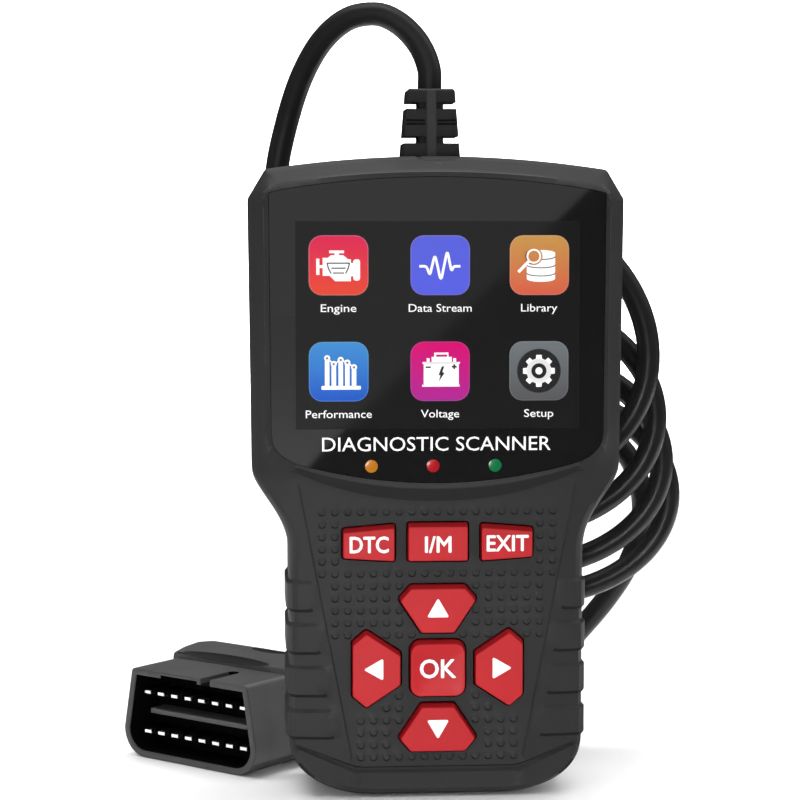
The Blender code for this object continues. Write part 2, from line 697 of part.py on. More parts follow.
def make_plug(collection):
    """Shroud, pin block, sixteen pins, moulded grip and strain relief on one turned frame."""
    dark = finish_material("plug_plastic", (0.03, 0.03, 0.031, 1), 0.5)
    soft = finish_material("plug_grip", (0.026, 0.026, 0.027, 1), 0.6)
    metal = finish_material("pin_metal", (0.86, 0.85, 0.82, 1), 0.25, 1.0)
    frame = bpy.data.objects.new("plug_frame", None)
    frame.location = (PLUG_PLACE[0] * MM, PLUG_PLACE[1] * MM, 0.0)
    frame.rotation_euler = (0.0, 0.0, PLUG_TURN)
    collection.objects.link(frame)

    bm = bmesh.new()
    prism(bm, plug_section(), 0.0, SHROUD_DEPTH)
    shroud = add_object("plug_shroud", bm, dark, collection, frame)
    bm = bmesh.new()
    prism(bm, plug_section(-PLUG_WALL), -1.0, SHROUD_CAVITY)
    add_boolean(shroud, bm, "DIFFERENCE", "cavity")
    bm = bmesh.new()
    box(bm, (-8.2, 2.6), (-1.0, SHROUD_CAVITY - 0.1), (PLUG_HEIGHT - 2.4, PLUG_HEIGHT - 0.8))
    add_boolean(shroud, bm, "DIFFERENCE", "keyway")

    columns = [PIN_PITCH * (k - 3.5) for k in range(8)]
    bm = bmesh.new()
    prism(bm, plug_section(-PLUG_WALL - GAP), BLOCK_FRONT, PIN_BACK)
    block = add_object("plug_pin_block", bm, dark, collection, frame)
    bm = bmesh.new()
    box(bm, (-15.2, 15.2), (RIB_FRONT, BLOCK_FRONT + 1), RIB_Z)
    add_boolean(block, bm, "UNION", "rib")
    bm = bmesh.new()
    for z in PIN_ROWS:
        for x in columns:
            half_x, half_z = (size / 2 + GAP for size in PIN_SIZE)
            box(bm, (x - half_x, x + half_x), (BLOCK_FRONT - 1, PIN_BACK + 1),
                (z - half_z, z + half_z))
    add_boolean(block, bm, "DIFFERENCE", "pin_slots")

    number = 0
    for z in PIN_ROWS:
        for x in columns:
            number += 1
            half_x, half_z = (size / 2 for size in PIN_SIZE)
            bm = bmesh.new()
            box(bm, (x - half_x, x + half_x), (PIN_FRONT, PIN_BACK), (z - half_z, z + half_z))
            add_object(f"plug_pin_{number:02d}", bm, metal, collection, frame)

    def grip_ring(y, share, low, high):
        outline = plug_section(0.9)
        z_low = min(z for _, z in outline)
        z_high = max(z for _, z in outline)
        return [(x * share, y, low + (high - low) * (z - z_low) / (z_high - z_low))
                for x, z in outline]

    bm = bmesh.new()
    loft(bm, [grip_ring(SHROUD_DEPTH + GAP, 1.0, 0.0, 22.0), grip_ring(23.0, 0.98, 0.0, 22.4),
              grip_ring(29.0, 0.80, 0.9, 20.6), grip_ring(OVERMOLD_BACK, 0.52, 2.6, 18.4)])
    shade_round(add_object("plug_overmold", bm, soft, collection, frame))

    bm = bmesh.new()
    rod(bm, (0, OVERMOLD_BACK + GAP, PLUG_EXIT_Z), (0, RELIEF_END, PLUG_EXIT_Z), 5.4, 3.4, 16)
    shade_round(add_object("plug_relief", bm, soft, collection, frame))


def make_lead(collection):
    """Strain relief, inner lead, arch, coil and tail."""
    rubber = finish_material("lead_rubber", LEAD_BLACK, 0.5)
    inner = ((RELIEF_X, 0, 126.6), (RELIEF_X, 0.2, 120.0), (RELIEF_X, 0.2, 113.0),
             (RELIEF_X, 0, 107.4))
    make_strain_relief(collection, rubber)
    make_tube("inner_lead", inner, 1.7, rubber, collection)
    make_tube("cable_arch", ARCH_ROUTE, CORD_RADIUS, rubber, collection)
    make_coil(collection, rubber)
    make_tube("cable_tail", TAIL_ROUTE, CORD_RADIUS, rubber, collection)


PARTS, CUTTERS = clear_scene()
SHELL = finish_material("shell_plastic", SHELL_GREY, 0.55)
STEEL = finish_material("screw_steel", (0.45, 0.45, 0.46, 1), 0.35, 1.0)
make_front_shell(PARTS, SHELL)
make_back_shell(PARTS, SHELL)
make_screws(PARTS, STEEL)
make_display(PARTS)
make_lamps(PARTS)
make_board(PARTS)
make_keypad(PARTS)
make_lead(PARTS)
make_plug(PARTS)
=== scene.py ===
import math

import bmesh
import bpy
import numpy as np
from mathutils import Matrix, Vector, geometry


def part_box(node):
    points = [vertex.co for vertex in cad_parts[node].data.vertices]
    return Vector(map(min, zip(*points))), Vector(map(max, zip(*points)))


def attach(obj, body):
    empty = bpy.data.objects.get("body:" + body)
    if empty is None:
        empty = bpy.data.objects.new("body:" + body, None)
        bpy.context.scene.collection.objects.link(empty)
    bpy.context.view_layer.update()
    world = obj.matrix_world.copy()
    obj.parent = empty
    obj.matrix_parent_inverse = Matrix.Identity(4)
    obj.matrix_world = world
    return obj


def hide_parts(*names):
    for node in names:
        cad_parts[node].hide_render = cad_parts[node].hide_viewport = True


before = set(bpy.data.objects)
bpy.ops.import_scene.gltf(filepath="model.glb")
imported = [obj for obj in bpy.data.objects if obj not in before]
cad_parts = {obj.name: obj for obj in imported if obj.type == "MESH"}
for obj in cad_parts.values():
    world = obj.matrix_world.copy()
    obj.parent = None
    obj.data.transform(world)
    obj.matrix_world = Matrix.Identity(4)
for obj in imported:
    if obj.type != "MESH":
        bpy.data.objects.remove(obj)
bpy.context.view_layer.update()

MM = 0.001
ROOT = "reader"

# Camera and stage
LOOK_AT = (-7.77, -11.3, 82.2)
CAMERA_DISTANCE = 448.0
CAMERA_AZIMUTH = math.radians(-4.0)
CAMERA_ELEVATION = math.radians(4.5)
CAMERA_LENS = 99.3
FLAG_Y = -500.0
FLOOR_HALF = 2800
FLOOR_NEAR = -2500
WALL_Y = 1500
WALL_BEND = 300
WALL_TOP = 2600
SURROUND = 0.62
# Lights: name, place, target, size, watts, spread in degrees
LIGHTS = (
    ("key_light", (-150, -330, 860), (0, 0, 60), (600, 500), 1.2, 180.0),
    ("side_light", (-700, -150, 400), (0, 0, 70), (350, 500), 0.25, 180.0),
    ("rim_light", (650, 0, 550), (20, 20, 60), (250, 500), 1.6, 180.0),
    ("top_light", (0, 150, 1000), (0, 60, 0), (1300, 250), 12.5, 180.0),
    ("fill_light", (-110, -560, 60), (-6, 0, 10), (120, 120), 0.025, 20.0),
    ("wall_light", (0, WALL_Y - 420, 1100), (0, WALL_Y + 40, 250), (2000, 300), 36.0, 120.0),
)
# Black cards: one in front cut on the diagonal, one on the floor, four around the reader
FLAGS = (
    ((-45, FLAG_Y, -20), (-6.4, FLAG_Y, 22.2), (105.4, FLAG_Y, 131.4), (417, FLAG_Y, 436),
     (420, FLAG_Y, -20)),
    ((-600, FLAG_Y, 1.5), (600, FLAG_Y, 1.5), (600, -15, 1.5), (-600, -15, 1.5)),
    ((-330, -420, 0), (-330, 300, 0), (-330, 300, 420), (-330, -420, 420)),
    ((330, -420, 0), (330, 300, 0), (330, 300, 420), (330, -420, 420)),
    ((-330, 300, 0), (330, 300, 0), (330, 300, 420), (-330, 300, 420)),
    ((-330, -420, 420), (330, -420, 420), (330, 300, 420), (-330, 300, 420)),
)

# Reader outline (millimetres)
HEAD_HALF = 38.5
HEAD_HALF_LOW = 37.9
BODY_HALF = 30.4
FOOT_HALF = 12.0
FOOT_RISE = 12.0
FOOT_POWER = 2.2
WAIST_LOW = 49.0
WAIST_HIGH = 68.4
SHOULDER_LOW = 122.9
SHOULDER = (34.9, 128.9)
HEIGHT = 131.6
SPLIT = 2.0
GAP = 0.3

# Levels along Y
FACE = -11.3
PAD = -10.6
BACK = 12.0
LENS_FACE = -11.22

# Grip ribs: lower edge, upper edge, inner end on the front, inner end on the back
RIBS = ((12.5, 18.2, 20.3, 26.0), (21.3, 27.2, 21.7, 26.2), (30.2, 36.1, 23.0, 26.6),
        (39.0, 44.9, 24.6, 27.0))
RIB_FADE = 5.0
RIB_HEIGHT = 0.62
RIB_EDGE = 0.35
RIB_CORNER = 2.0

# Keypad panel: depth and width of the step along its sides
PANEL_STEP = 0.3
PANEL_EDGE = 0.4
PANEL_HALF = 19.3
PANEL_HALF_Z = 18.1
PANEL_FLARE = 0.19

# Chin creases: lowest level, where they turn up, how steeply; then what the lower one adds
CHIN = (6.5, 16.3, 0.36)
CHIN_STEP = (-1.3, 0.6, 0.06)

# Rounding of the grip's rim: radius, what it gains towards the foot, where along Y it starts
GRIP_ROUND = (4.4, 2.2)
GRIP_ROUND_START = -6.9

# Raised pads on the panel: pitch across and up, foot and top radius, height, rows
BUMP_PITCH = (2.63, 2.54)
BUMP_RADIUS = 0.9
BUMP_TOP = 0.57
BUMP_HEIGHT = 0.42
BUMP_ROWS = 21
BUMP_FIRST = 8.5

# Shallow dish in the top edge before the strain relief: half width, reach, depth
DISH = (4.3, 1.1, 0.45)

# Profiles: places, then levels along Y
RIM_SPAN = 4.25
RIM_STEP = 3.2
RIM_PROFILE = ((0, 0.4, 3.1, 3.3, RIM_SPAN), (-7.2, -7.85, -10.5, -10.98, FACE))
LIP_PROFILE = ((0, 0.06, 0.70, 0.76, 1), (PAD, PAD - 0.05, -11.72, -11.78, -11.2))
CREASE_PROFILE = ((0, 0.25, 0.55, 1), (0, 0.34, 0.34, -0.3))
BACK_ROUND = 3.2
FRONT_RINGS = (0.4, 1.1, 1.9, 2.6, 3.1, 3.3, 4.3)
BACK_RINGS = (0.4, 0.9, 1.5, 2.2, BACK_ROUND)
FRONT_WALLS = (-6.6, -3.0, SPLIT - 0.55, SPLIT - GAP / 2)
BACK_WALLS = (BACK - 3.6, 6.0, SPLIT + 0.55, SPLIT + GAP / 2)
OPENING_DEPTH = (-8.6, 8.9)
SEAM_REACH = 1.6
ON_RIM = 0.02

# Places of the materials on a piece: the front shell (painted shade on flanks, painted shade on the
# lip, painted highlight on edge lines), the plug's shell (painted shade inside, painted light on
# the flanks), an icon
PAINTED_SHADE_FLANK, PAINTED_SHADE_LIP, PAINTED_HIGHLIGHT_EDGE = 1, 2, 3
PLUG_PAINTED_SHADE, PLUG_PAINTED_LIGHT = 1, 2
BLEND, RIM, WHITE, DARK = range(4)
SCREW_PLACES = ((-26.5, 126.0), (26.5, 126.0), (-23.5, 11.8), (23.5, 11.8))
SCREW_HOLE = 2.75

# Window
LENS_HALF = 34.3
LENS_TOP = 127.4
LENS_TOP_SIDE = 124.3
LENS_BOTTOM = 65.1
LENS_BACK = -10.3
LENS_SWEEP = (27.6, 3.7)
LIP_BOTTOM = 61.2
LIP_SWEEP = (29.5, 6.4, 2.2)
SCREEN_Z = (76.3, 118.4)
SCREEN_HALF = 28.9
LAMPS = {"amber": -13.6, "red": -1.0, "green": 11.7}
LAMP_Z = 68.7
SCREEN_GLOW = 0.14

# Keys
DPAD_Z = 26.95
ARROW = ((3.4, 7.3), (8.1, 14.4), (5.6, 17.3))
OK_HALF = (5.7, 5.85)
KEY_FRONT = -12.0
KEY_BACK = -8.2
KEY_SIDE = -11.0
KEY_EDGE = KEY_FRONT + 0.1
KEY_BEVEL = 0.16
KEY_BEVEL_UP = 0.62
OK_DISH = 0.34
TOP_KEYS = {
    "key_codes": ((-19.5, 49.8), (-8.8, 49.1), (-8.8, 56.8), (-19.5, 55.9)),
    "key_test": ((-6.2, 49.1), (6.2, 49.1), (6.2, 57.0), (-6.2, 57.0)),
    "key_exit": ((8.8, 49.1), (19.5, 49.8), (19.5, 55.9), (8.8, 56.8)),
}

# Cord
CORD_DIAMETER = 5.0
COIL_PITCH = 5.3
COIL_FIRST_Y = 16.5
COIL_FIRST_ANGLE = math.radians(97.0)
COIL_START = -0.24
COIL_END = 3.62
COIL_STEPS = 16
COIL_HALF_WIDTH = 29.0
# First value, then how it changes with the turns
COIL_X = (19.3, 2.6)
COIL_Z = (32.0, 57.0, 0.76)
COIL_HALF_HEIGHT = (21.0, 4.0, -2.1)
RELIEF_X = -0.9
# Strain relief: its foot, half sizes there and how they narrow upward, then levels and sections
RELIEF_FOOT = 131.7
RELIEF_HALF = (5.92, 5.3)
RELIEF_TAPER = (0.0766, 0.062)
RELIEF_LEVELS = (
    (131.2, "full"), (134.3, "full"), (134.3, "core"), (135.65, "core"), (135.65, "full"),
    (138.0, "full"), (138.0, "slit"), (138.4, "slit"), (138.4, "full"), (138.7, "full"),
    (138.7, "slit"), (139.1, "slit"), (139.1, "full"), (141.3, "full"), (141.3, "core"),
    (142.6, "core"), (142.6, "full"), (145.05, "full"), (145.4, "tip"))
ARCH_ROUTE = (
    (-0.9, 0.0, 145.5), (-1.0, 0.0, 149.6), (-2.7, 0.8, 154.2), (-5.9, 2.0, 158.2),
    (-9.8, 3.3, 160.7), (-13.2, 4.6, 161.2), (-17.2, 6.2, 160.4), (-21.2, 8.2, 157.6),
    (-24.5, 10.2, 153.4), (-27.6, 12.5, 147.0), (-30.2, 14.4, 138.6), (-32.1, 15.2, 129.6),
    (-32.3, 15.2, 121.5), (-28.8, 15.2, 114.3), (-21.5, 15.1, 110.0), (-13.5, 15.1, 109.8),
    (-5.5, 15.0, 112.9), (3.5, 15.0, 116.4), (13.0, 15.1, 118.6),
)
TAIL_ROUTE = (
    (39.5, 41.0, 71.6), (47.8, 42.3, 65.5), (51.6, 43.3, 57.0),
    (51.8, 44.2, 47.8), (49.0, 45.5, 38.8), (44.4, 47.4, 30.8), (38.6, 50.0, 23.0),
    (33.0, 53.2, 15.8), (27.2, 57.4, 9.6), (21.0, 62.0, 5.3), (14.0, 66.4, 3.0),
    (7.0, 69.0, 2.9), (0.0, 69.2, 4.3), (-6.5, 67.2, 6.7), (-12.0, 63.6, 9.0),
    (-16.5, 59.4, 10.2), (-20.0, 55.4, 10.5),
)

# Plug
PLUG_PLACE = (-51.9, 18.6)
PLUG_TURN = math.radians(-41.0)
PLUG_EXIT_Z = 10.5
PLUG_HEIGHT = 19.8
PLUG_DEEP = 14.0
KEYWAY = (-8.2, 2.6, 0.7)
SLOT = (5.0, 1.35, 1.2)
PIN_ROWS = (14.3, 5.5)
PIN_COLUMNS = tuple(4.0 * (k - 3.5) for k in range(8))
# Moulded grip: place along the plug, share of the section's width, lowest and highest point
GRIP_RINGS = ((14.05, 0.99, 0.25, 20.9), (14.3, 1.03, 0.0, 21.2), (17.5, 1.045, 0.0, 21.8),
              (22.0, 1.03, 0.0, 22.3), (25.5, 0.97, 0.2, 22.1), (28.5, 0.87, 0.7, 21.0),
              (31.0, 0.74, 1.4, 19.7), (33.2, 0.6, 2.2, 18.6), (34.0, 0.52, 2.8, 18.0))
# Hollows in the grip: centre and radii; the first two get painted shade
GRIP_HOLLOWS = (((-2.0, 14.2, 22.2), (15.0, 2.6, 1.9)), ((4.0, 24.0, 23.4), (7.5, 3.2, 2.0)),
                ((20.6, 24.0, 11.5), (2.0, 5.0, 5.5)), ((-20.6, 24.0, 11.5), (2.0, 5.0, 5.5)))
# Slotted boot behind the grip: place along the plug, radius
BOOT_RINGS = ((34.1, 5.4), (35.4, 5.3), (35.4, 4.3), (36.3, 4.2), (36.3, 5.1), (38.4, 4.9),
              (38.4, 4.0), (39.3, 3.9), (39.3, 4.7), (41.4, 4.4), (41.4, 3.6), (42.3, 3.5),
              (42.3, 4.2), (47.8, 3.5), (49.6, 3.4), (50.0, 3.0))

# Screen graphics: half tile, its corner, places of the tiles, thickness of a printed film
ICON = 6.05
ICON_CORNER = 2.7
ICON_COLUMNS = (-20.2, 0.4, 20.6)
ICON_ROWS = (109.5, 88.0)
FILM = 0.03
TILE, GLYPH, DETAIL = LENS_FACE - 0.02, LENS_FACE - 0.04, LENS_FACE - 0.06
ICON_DARK = (24, 24, 27)
LEGEND_BOLD = 0.095


# ---------------------------------------------------------------- materials

def srgb(r, g, b):
    """Linear colour from 8-bit screen values."""
    out = []
    for value in (r, g, b):
        value /= 255
        out.append(value / 12.92 if value <= 0.04045 else ((value + 0.055) / 1.055) ** 2.4)
    return (*out, 1.0)


def ramp_node(tree, source, low, high):
    """Two-colour ramp fed by a socket; each end is a position and a colour."""
    ramp = tree.nodes.new("ShaderNodeValToRGB")
    for element, (position, colour) in zip(ramp.color_ramp.elements, (low, high)):
        element.position, element.color = position, colour
    tree.links.new(source, ramp.inputs["Fac"])
    return ramp.outputs["Color"]


def noise_node(tree, coordinates, scale, detail=2.0):
    """Noise texture in object space; scale is in cycles per metre."""
    node = tree.nodes.new("ShaderNodeTexNoise")
    node.inputs["Scale"].default_value = scale
    node.inputs["Detail"].default_value = detail
    tree.links.new(coordinates, node.inputs["Vector"])
    return node


def new_shader(name):
    """A node material with its tree, its shader and the object-space coordinates."""
    material = bpy.data.materials.new(name)
    material.use_nodes = True
    tree = material.node_tree
    place = tree.nodes.new("ShaderNodeTexCoord").outputs["Object"]
    return material, tree, tree.nodes["Principled BSDF"], place


def surface(name, colour, roughness, spread=0.12, grain=2600.0, bump=0.02, metallic=0.0,
            mottle=90.0, rough_spread=0.08, specular=0.5, emission=0.0):
    """Moulded plastic, rubber or metal: mottled colour, uneven gloss and a fine grain."""
    material, tree, shader, place = new_shader(name)
    shader.inputs["Metallic"].default_value = metallic
    shader.inputs["Specular IOR Level"].default_value = specular

    broad = noise_node(tree, place, mottle, 3.0)
    dark = tuple(c * (1 - spread) for c in colour[:3]) + (1.0,)
    light = tuple(min(1.0, c * (1 + spread)) for c in colour[:3]) + (1.0,)
    tint = ramp_node(tree, broad.outputs["Fac"], (0.3, dark), (0.7, light))
    tree.links.new(tint, shader.inputs["Base Color"])
    if emission:
        tree.links.new(tint, shader.inputs["Emission Color"])
        shader.inputs["Emission Strength"].default_value = emission

    fine = noise_node(tree, place, grain, 2.0)
    spread_node = tree.nodes.new("ShaderNodeMapRange")
    spread_node.inputs["To Min"].default_value = max(0.02, roughness - rough_spread)
    spread_node.inputs["To Max"].default_value = min(1.0, roughness + rough_spread)
    tree.links.new(fine.outputs["Fac"], spread_node.inputs["Value"])
    tree.links.new(spread_node.outputs["Result"], shader.inputs["Roughness"])
    if bump:
        relief = tree.nodes.new("ShaderNodeBump")
        relief.inputs["Strength"].default_value = 1.0
        relief.inputs["Distance"].default_value = bump * MM
        tree.links.new(fine.outputs["Fac"], relief.inputs["Height"])
        tree.links.new(relief.outputs["Normal"], shader.inputs["Normal"])
    return material


def icon_surface(name, top, bottom):
    """Backlit icon: a vertical blend between two colours, seen through the gloss window."""
    material, tree, shader, place = new_shader(name)
    split = tree.nodes.new("ShaderNodeSeparateXYZ")
    tree.links.new(place, split.inputs["Vector"])
    height = tree.nodes.new("ShaderNodeMapRange")
    height.inputs["From Min"].default_value = -ICON * MM
    height.inputs["From Max"].default_value = ICON * MM
    tree.links.new(split.outputs["Z"], height.inputs["Value"])
    tint = ramp_node(tree, height.outputs["Result"], (0.0, bottom), (1.0, top))
    tree.links.new(tint, shader.inputs["Base Color"])
    tree.links.new(tint, shader.inputs["Emission Color"])
    shader.inputs["Emission Strength"].default_value = SCREEN_GLOW
    shader.inputs["Roughness"].default_value = 0.12
    shader.inputs["Specular IOR Level"].default_value = 0.25
    return material


# ---------------------------------------------------------------- mesh helpers

def add_object(name, data):
    """Put a mesh, curve, light or camera in the scene."""
    item = bpy.data.objects.new(name, data)
    bpy.context.scene.collection.objects.link(item)
    return item


def metric_mesh(name, bm, materials=()):
    """Turn a bmesh in millimetres into a mesh in metres."""
    bmesh.ops.scale(bm, verts=bm.verts, vec=(MM, MM, MM))
    mesh = bpy.data.meshes.new(name)
    bm.to_mesh(mesh)
    bm.free()
    for material in materials:
        mesh.materials.append(material)
    return mesh


def finish_piece(name, bm, materials, body=ROOT, replaces=(), sharp=32.0,
                 origin=(0, 0, 0)):
    """Turn a bmesh in millimetres into a piece that rides on a body."""
    shift = Vector(origin)
    bmesh.ops.translate(bm, verts=bm.verts, vec=-shift)
    mesh = metric_mesh(name, bm, materials if isinstance(materials, list) else [materials])
    mesh.shade_smooth()
    mesh.set_sharp_from_angle(angle=math.radians(sharp))
    piece = add_object(name, mesh)
    piece.location = shift * MM
    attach(piece, body)
    if replaces:
        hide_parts(*replaces)


def loft(bm, rings, cap_start=True, cap_end=True, material=0):
    """Join rings of equal length with quads."""
    loops = [[bm.verts.new(point) for point in ring] for ring in rings]
    faces = []
    count = len(loops[0])
    for lower, upper in zip(loops, loops[1:]):
        for i in range(count):
            j = (i + 1) % count
            faces.append(bm.faces.new((lower[i], lower[j], upper[j], upper[i])))
    if cap_start:
        faces.append(bm.faces.new(loops[0][::-1]))
    if cap_end:
        faces.append(bm.faces.new(loops[-1]))
    for face in faces:
        face.material_index = material
    return loops


def at_level(outline, y):
    """Points of a flat outline, stood up at a level along Y."""
    return [(x, y, z) for x, z in outline]


def circle(x, z, radius, count=40):
    """Anticlockwise circle about a point."""
    turns = [math.tau * k / count for k in range(count)]
    return [(x + radius * math.cos(a), z + radius * math.sin(a)) for a in turns]


def tidy_normals(bm):
    """Point every normal outward."""
    bmesh.ops.recalc_face_normals(bm, faces=bm.faces)


def offset(outline, distance):
    """Move each edge of an anticlockwise outline outward, by a number or a rule of its normal."""
    count = len(outline)
    shift = distance if callable(distance) else (lambda _: distance)
    normals = []
    for i in range(count):
        edge = Vector(outline[(i + 1) % count]) - Vector(outline[i])
        edge.normalize()
        normals.append(Vector((edge.y, -edge.x)))
    moved = []
    for i in range(count):
        a, b = normals[i - 1], normals[i]
        da, db = shift(a), shift(b)
        cross = a.x * b.y - a.y * b.x
        if abs(cross) < 0.02:
            step = (a * da + b * db) / 2
        else:
            step = Vector((da * b.y - db * a.y, db * a.x - da * b.x)) / cross
        moved.append((outline[i][0] + step.x, outline[i][1] + step.y))
    return moved


def rounded(outline, radius, steps=4):
    """Round the corners of an anticlockwise polygon."""
    count = len(outline)
    made = []
    for i in range(count):
        before, here, after = (Vector(outline[k % count]) for k in (i - 1, i, i + 1))
        to_a, to_b = (before - here).normalized(), (after - here).normalized()
        half = to_a.angle(to_b) / 2
        reach = min(radius / math.tan(half), (before - here).length * 0.49,
                    (after - here).length * 0.49)
        real = reach * math.tan(half)
        centre = here + (to_a + to_b).normalized() * (real / math.sin(half))
        start = here + to_a * reach - centre
        end = here + to_b * reach - centre
        turn = start.angle_signed(end)
        for k in range(steps + 1):
            spun = start.copy()
            spun.rotate(Matrix.Rotation(-turn * k / steps, 2))
            made.append(tuple(centre + spun))
    return made


def mirrored(right):
    """Close a right-hand outline, bottom to top, with its mirror image."""
    left = [(-x, z) for x, z in reversed(right) if x > 1e-6]
    return list(right) + left


def resample(outline, spacing):
    """Put extra points on the long edges of a closed outline."""
    made = []
    count = len(outline)
    for i in range(count):
        a, b = Vector(outline[i]), Vector(outline[(i + 1) % count])
        steps = max(1, math.ceil((b - a).length / spacing))
        made += [tuple(a.lerp(b, k / steps)) for k in range(steps)]
    return made


def smoothstep(low, high, value):
    """Ease from 0 to 1; works on numbers and arrays."""
    t = np.clip((value - low) / (high - low), 0.0, 1.0)
    return t * t * (3 - 2 * t)


def segment_distance(points, loop):
    """Distance from each point to a closed polyline."""
    a = np.array(loop)
    best = np.full(len(points), 1e9)
    for start, end in zip(a, np.roll(a, -1, axis=0)):
        run = end - start
        length = run @ run
        if length < 1e-12:
            continue
        t = np.clip(((points - start) @ run) / length, 0, 1)
        near = start + t[:, None] * run
        best = np.minimum(best, ((points - near) ** 2).sum(1))
    return np.sqrt(best)


def inside(points, polygon):
    """Which points lie inside a closed polygon."""
    x, z = points[:, 0], points[:, 1]
    result = np.zeros(len(points), bool)
    a = np.array(polygon)
    for (x1, z1), (x2, z2) in zip(a, np.roll(a, -1, axis=0)):
        cross = (z1 > z) != (z2 > z)
        with np.errstate(divide="ignore", invalid="ignore"):
            at = (x2 - x1) * (z - z1) / (z2 - z1) + x1
        result ^= cross & (x < at)
    return result


# ---------------------------------------------------------------- reader outlines

def reader_outline():
    """Outline of the reader without its ribs, anticlockwise from the bottom centre."""
    right = [(0.0, 0.0), (6.0, 0.0), (FOOT_HALF, 0.0)]
    for step in range(1, 25):
        across = math.sin(math.radians(90 * step / 24))
        up = 1 - (1 - across ** FOOT_POWER) ** (1 / FOOT_POWER)
        right.append((FOOT_HALF + (BODY_HALF - FOOT_HALF) * across, FOOT_RISE * up))
    levels = [WAIST_LOW]
    for low, high, _, _ in RIBS:
        levels += [low - RIB_EDGE, low + RIB_EDGE, high - RIB_EDGE, high + RIB_EDGE]
        levels += [low + 1.5, (low + high) / 2, high - 1.5, high + 1.4]
    right += [(BODY_HALF, z) for z in sorted(levels)]
    for step in range(1, 21):
        z = WAIST_LOW + (WAIST_HIGH - WAIST_LOW) * step / 20
        t = (step / 20) ** 1.4
        right.append((BODY_HALF + (HEAD_HALF_LOW - BODY_HALF) * t * t * (3 - 2 * t), z))
    corner = rounded([(HEAD_HALF_LOW, 100.0), (HEAD_HALF, SHOULDER_LOW), SHOULDER, (27.0, 130.2)],
                     1.2, 4)
    right += [point for point in corner if point[1] > SHOULDER_LOW - 3
              and point[0] > SHOULDER[0] - 2]
    rise = HEIGHT - SHOULDER[1]
    radius = (SHOULDER[0] ** 2 + rise ** 2) / (2 * rise)
    right += [(float(x), HEIGHT - radius + math.sqrt(radius ** 2 - x ** 2))
              for x in np.linspace(SHOULDER[0] - 2.5, 0, 24)]
    return resample(mirrored(right), 1.5)


def lens_outline():
    """Outline of the window: arched top, straight sides, swept lower edge."""
    half, rise = LENS_SWEEP
    right = [(half * k / 10, LENS_BOTTOM + rise * (k / 10) ** 2) for k in range(11)]
    right += [(29.6, 69.5), (31.1, 70.3), (32.3, 71.3), (33.2, 72.4), (33.7, 73.6),
              (33.95, 75.2), (LENS_HALF, LENS_TOP_SIDE - 0.6),
              (LENS_HALF - 0.2, LENS_TOP_SIDE - 0.15)]
    for k in range(14, 0, -1):
        share = k / 15
        right.append((LENS_HALF * share, LENS_TOP - (LENS_TOP - LENS_TOP_SIDE) * share ** 2))
    right.append((0.0, LENS_TOP))
    return resample(mirrored(right), 1.6)


def arrow_outline(direction):
    """Outline of an arrow key: direction 0 is up, and each step turns it a quarter left."""
    outline = [(-ARROW[0][0], ARROW[0][1])] + list(ARROW) + [(-x, z) for x, z in ARROW[:0:-1]]
    reach = 0.3 if direction % 2 else 0.0
    turn = Matrix.Rotation(math.radians(90 * direction), 2)
    return [(p.x, p.y + DPAD_Z) for p in (turn @ Vector((x, z + reach)) for x, z in outline)]


def key_shapes():
    """Every key's sharp outline, anticlockwise, with its corner radius and arc steps."""
    shapes = {name: (points, 0.55, 4) for name, points in TOP_KEYS.items()}
    for step, name in enumerate(("key_up", "key_left", "key_down", "key_right")):
        shapes[name] = (arrow_outline(step), 0.8, 4)
    hx, hz = OK_HALF
    square = ((-hx, DPAD_Z - hz), (hx, DPAD_Z - hz), (hx, DPAD_Z + hz), (-hx, DPAD_Z + hz))
    shapes["key_ok"] = (square, 2.2, 7)
    return shapes


def key_ring(name, move, soften=0.0):
    """A key's outline moved in or out, then rounded."""
    points, radius, steps = KEY_SHAPES[name]
    return rounded(offset(points, move), max(0.12, radius + soften), steps)


OUTLINE = reader_outline()
LENS = lens_outline()
KEY_SHAPES = key_shapes()
KEYS = {name: key_ring(name, 0.0) for name in KEY_SHAPES}


def rib_inside(x, z, rib, column):
    """Distance inside a rib's rounded bar, negative outside."""
    low, high = rib[0], rib[1]
    across = np.abs(x) - rib[column]
    up = np.minimum(z - low, high - z)
    both = (across < RIB_CORNER) & (up < RIB_CORNER)
    ring = RIB_CORNER - np.hypot(RIB_CORNER - np.minimum(across, RIB_CORNER),
                                 RIB_CORNER - np.minimum(up, RIB_CORNER))
    return np.where(both, ring, np.minimum(across, up))


def rib_mask(x, z, column):
    """1 on a rib, 0 off it, with a short slope between."""
    mask = np.zeros_like(x)
    for rib in RIBS:
        s = rib_inside(x, z, rib, column)
        fade = 0.4 + 0.6 * smoothstep(0.0, RIB_FADE, np.abs(x) - rib[column])
        mask = np.maximum(mask, np.clip((s + RIB_EDGE) / (2 * RIB_EDGE), 0, 1) * fade)
    return mask


def rib_lines(column):
    """Foot and top contours of every rib, as open lines that end on the outline."""
    lines = []
    for low, high, *ends in RIBS:
        for grow in (RIB_EDGE, -RIB_EDGE):
            x_in = ends[column - 2] - grow
            radius = RIB_CORNER + grow
            top, bottom = high + grow, low - grow
            arc = [(BODY_HALF, top)]
            for k in range(7):
                a = math.radians(90 + 15 * k)
                arc.append((x_in + radius + radius * math.cos(a),
                            top - radius + radius * math.sin(a)))
            for k in range(7):
                a = math.radians(180 + 15 * k)
                arc.append((x_in + radius + radius * math.cos(a),
                            bottom + radius + radius * math.sin(a)))
            arc.append((BODY_HALF, bottom))
            lines += [arc, [(-x, z) for x, z in arc]]
    return lines


def lens_bottom_z(x):
    """Lower edge of the window, carried on past its ends."""
    return LENS_BOTTOM + LENS_SWEEP[1] * (np.abs(x) / LENS_SWEEP[0]) ** 2


def lip_bottom_z(x):
    """Lower edge of the sloped lip under the window."""
    half, rise, power = LIP_SWEEP
    return LIP_BOTTOM + rise * (np.abs(x) / half) ** power


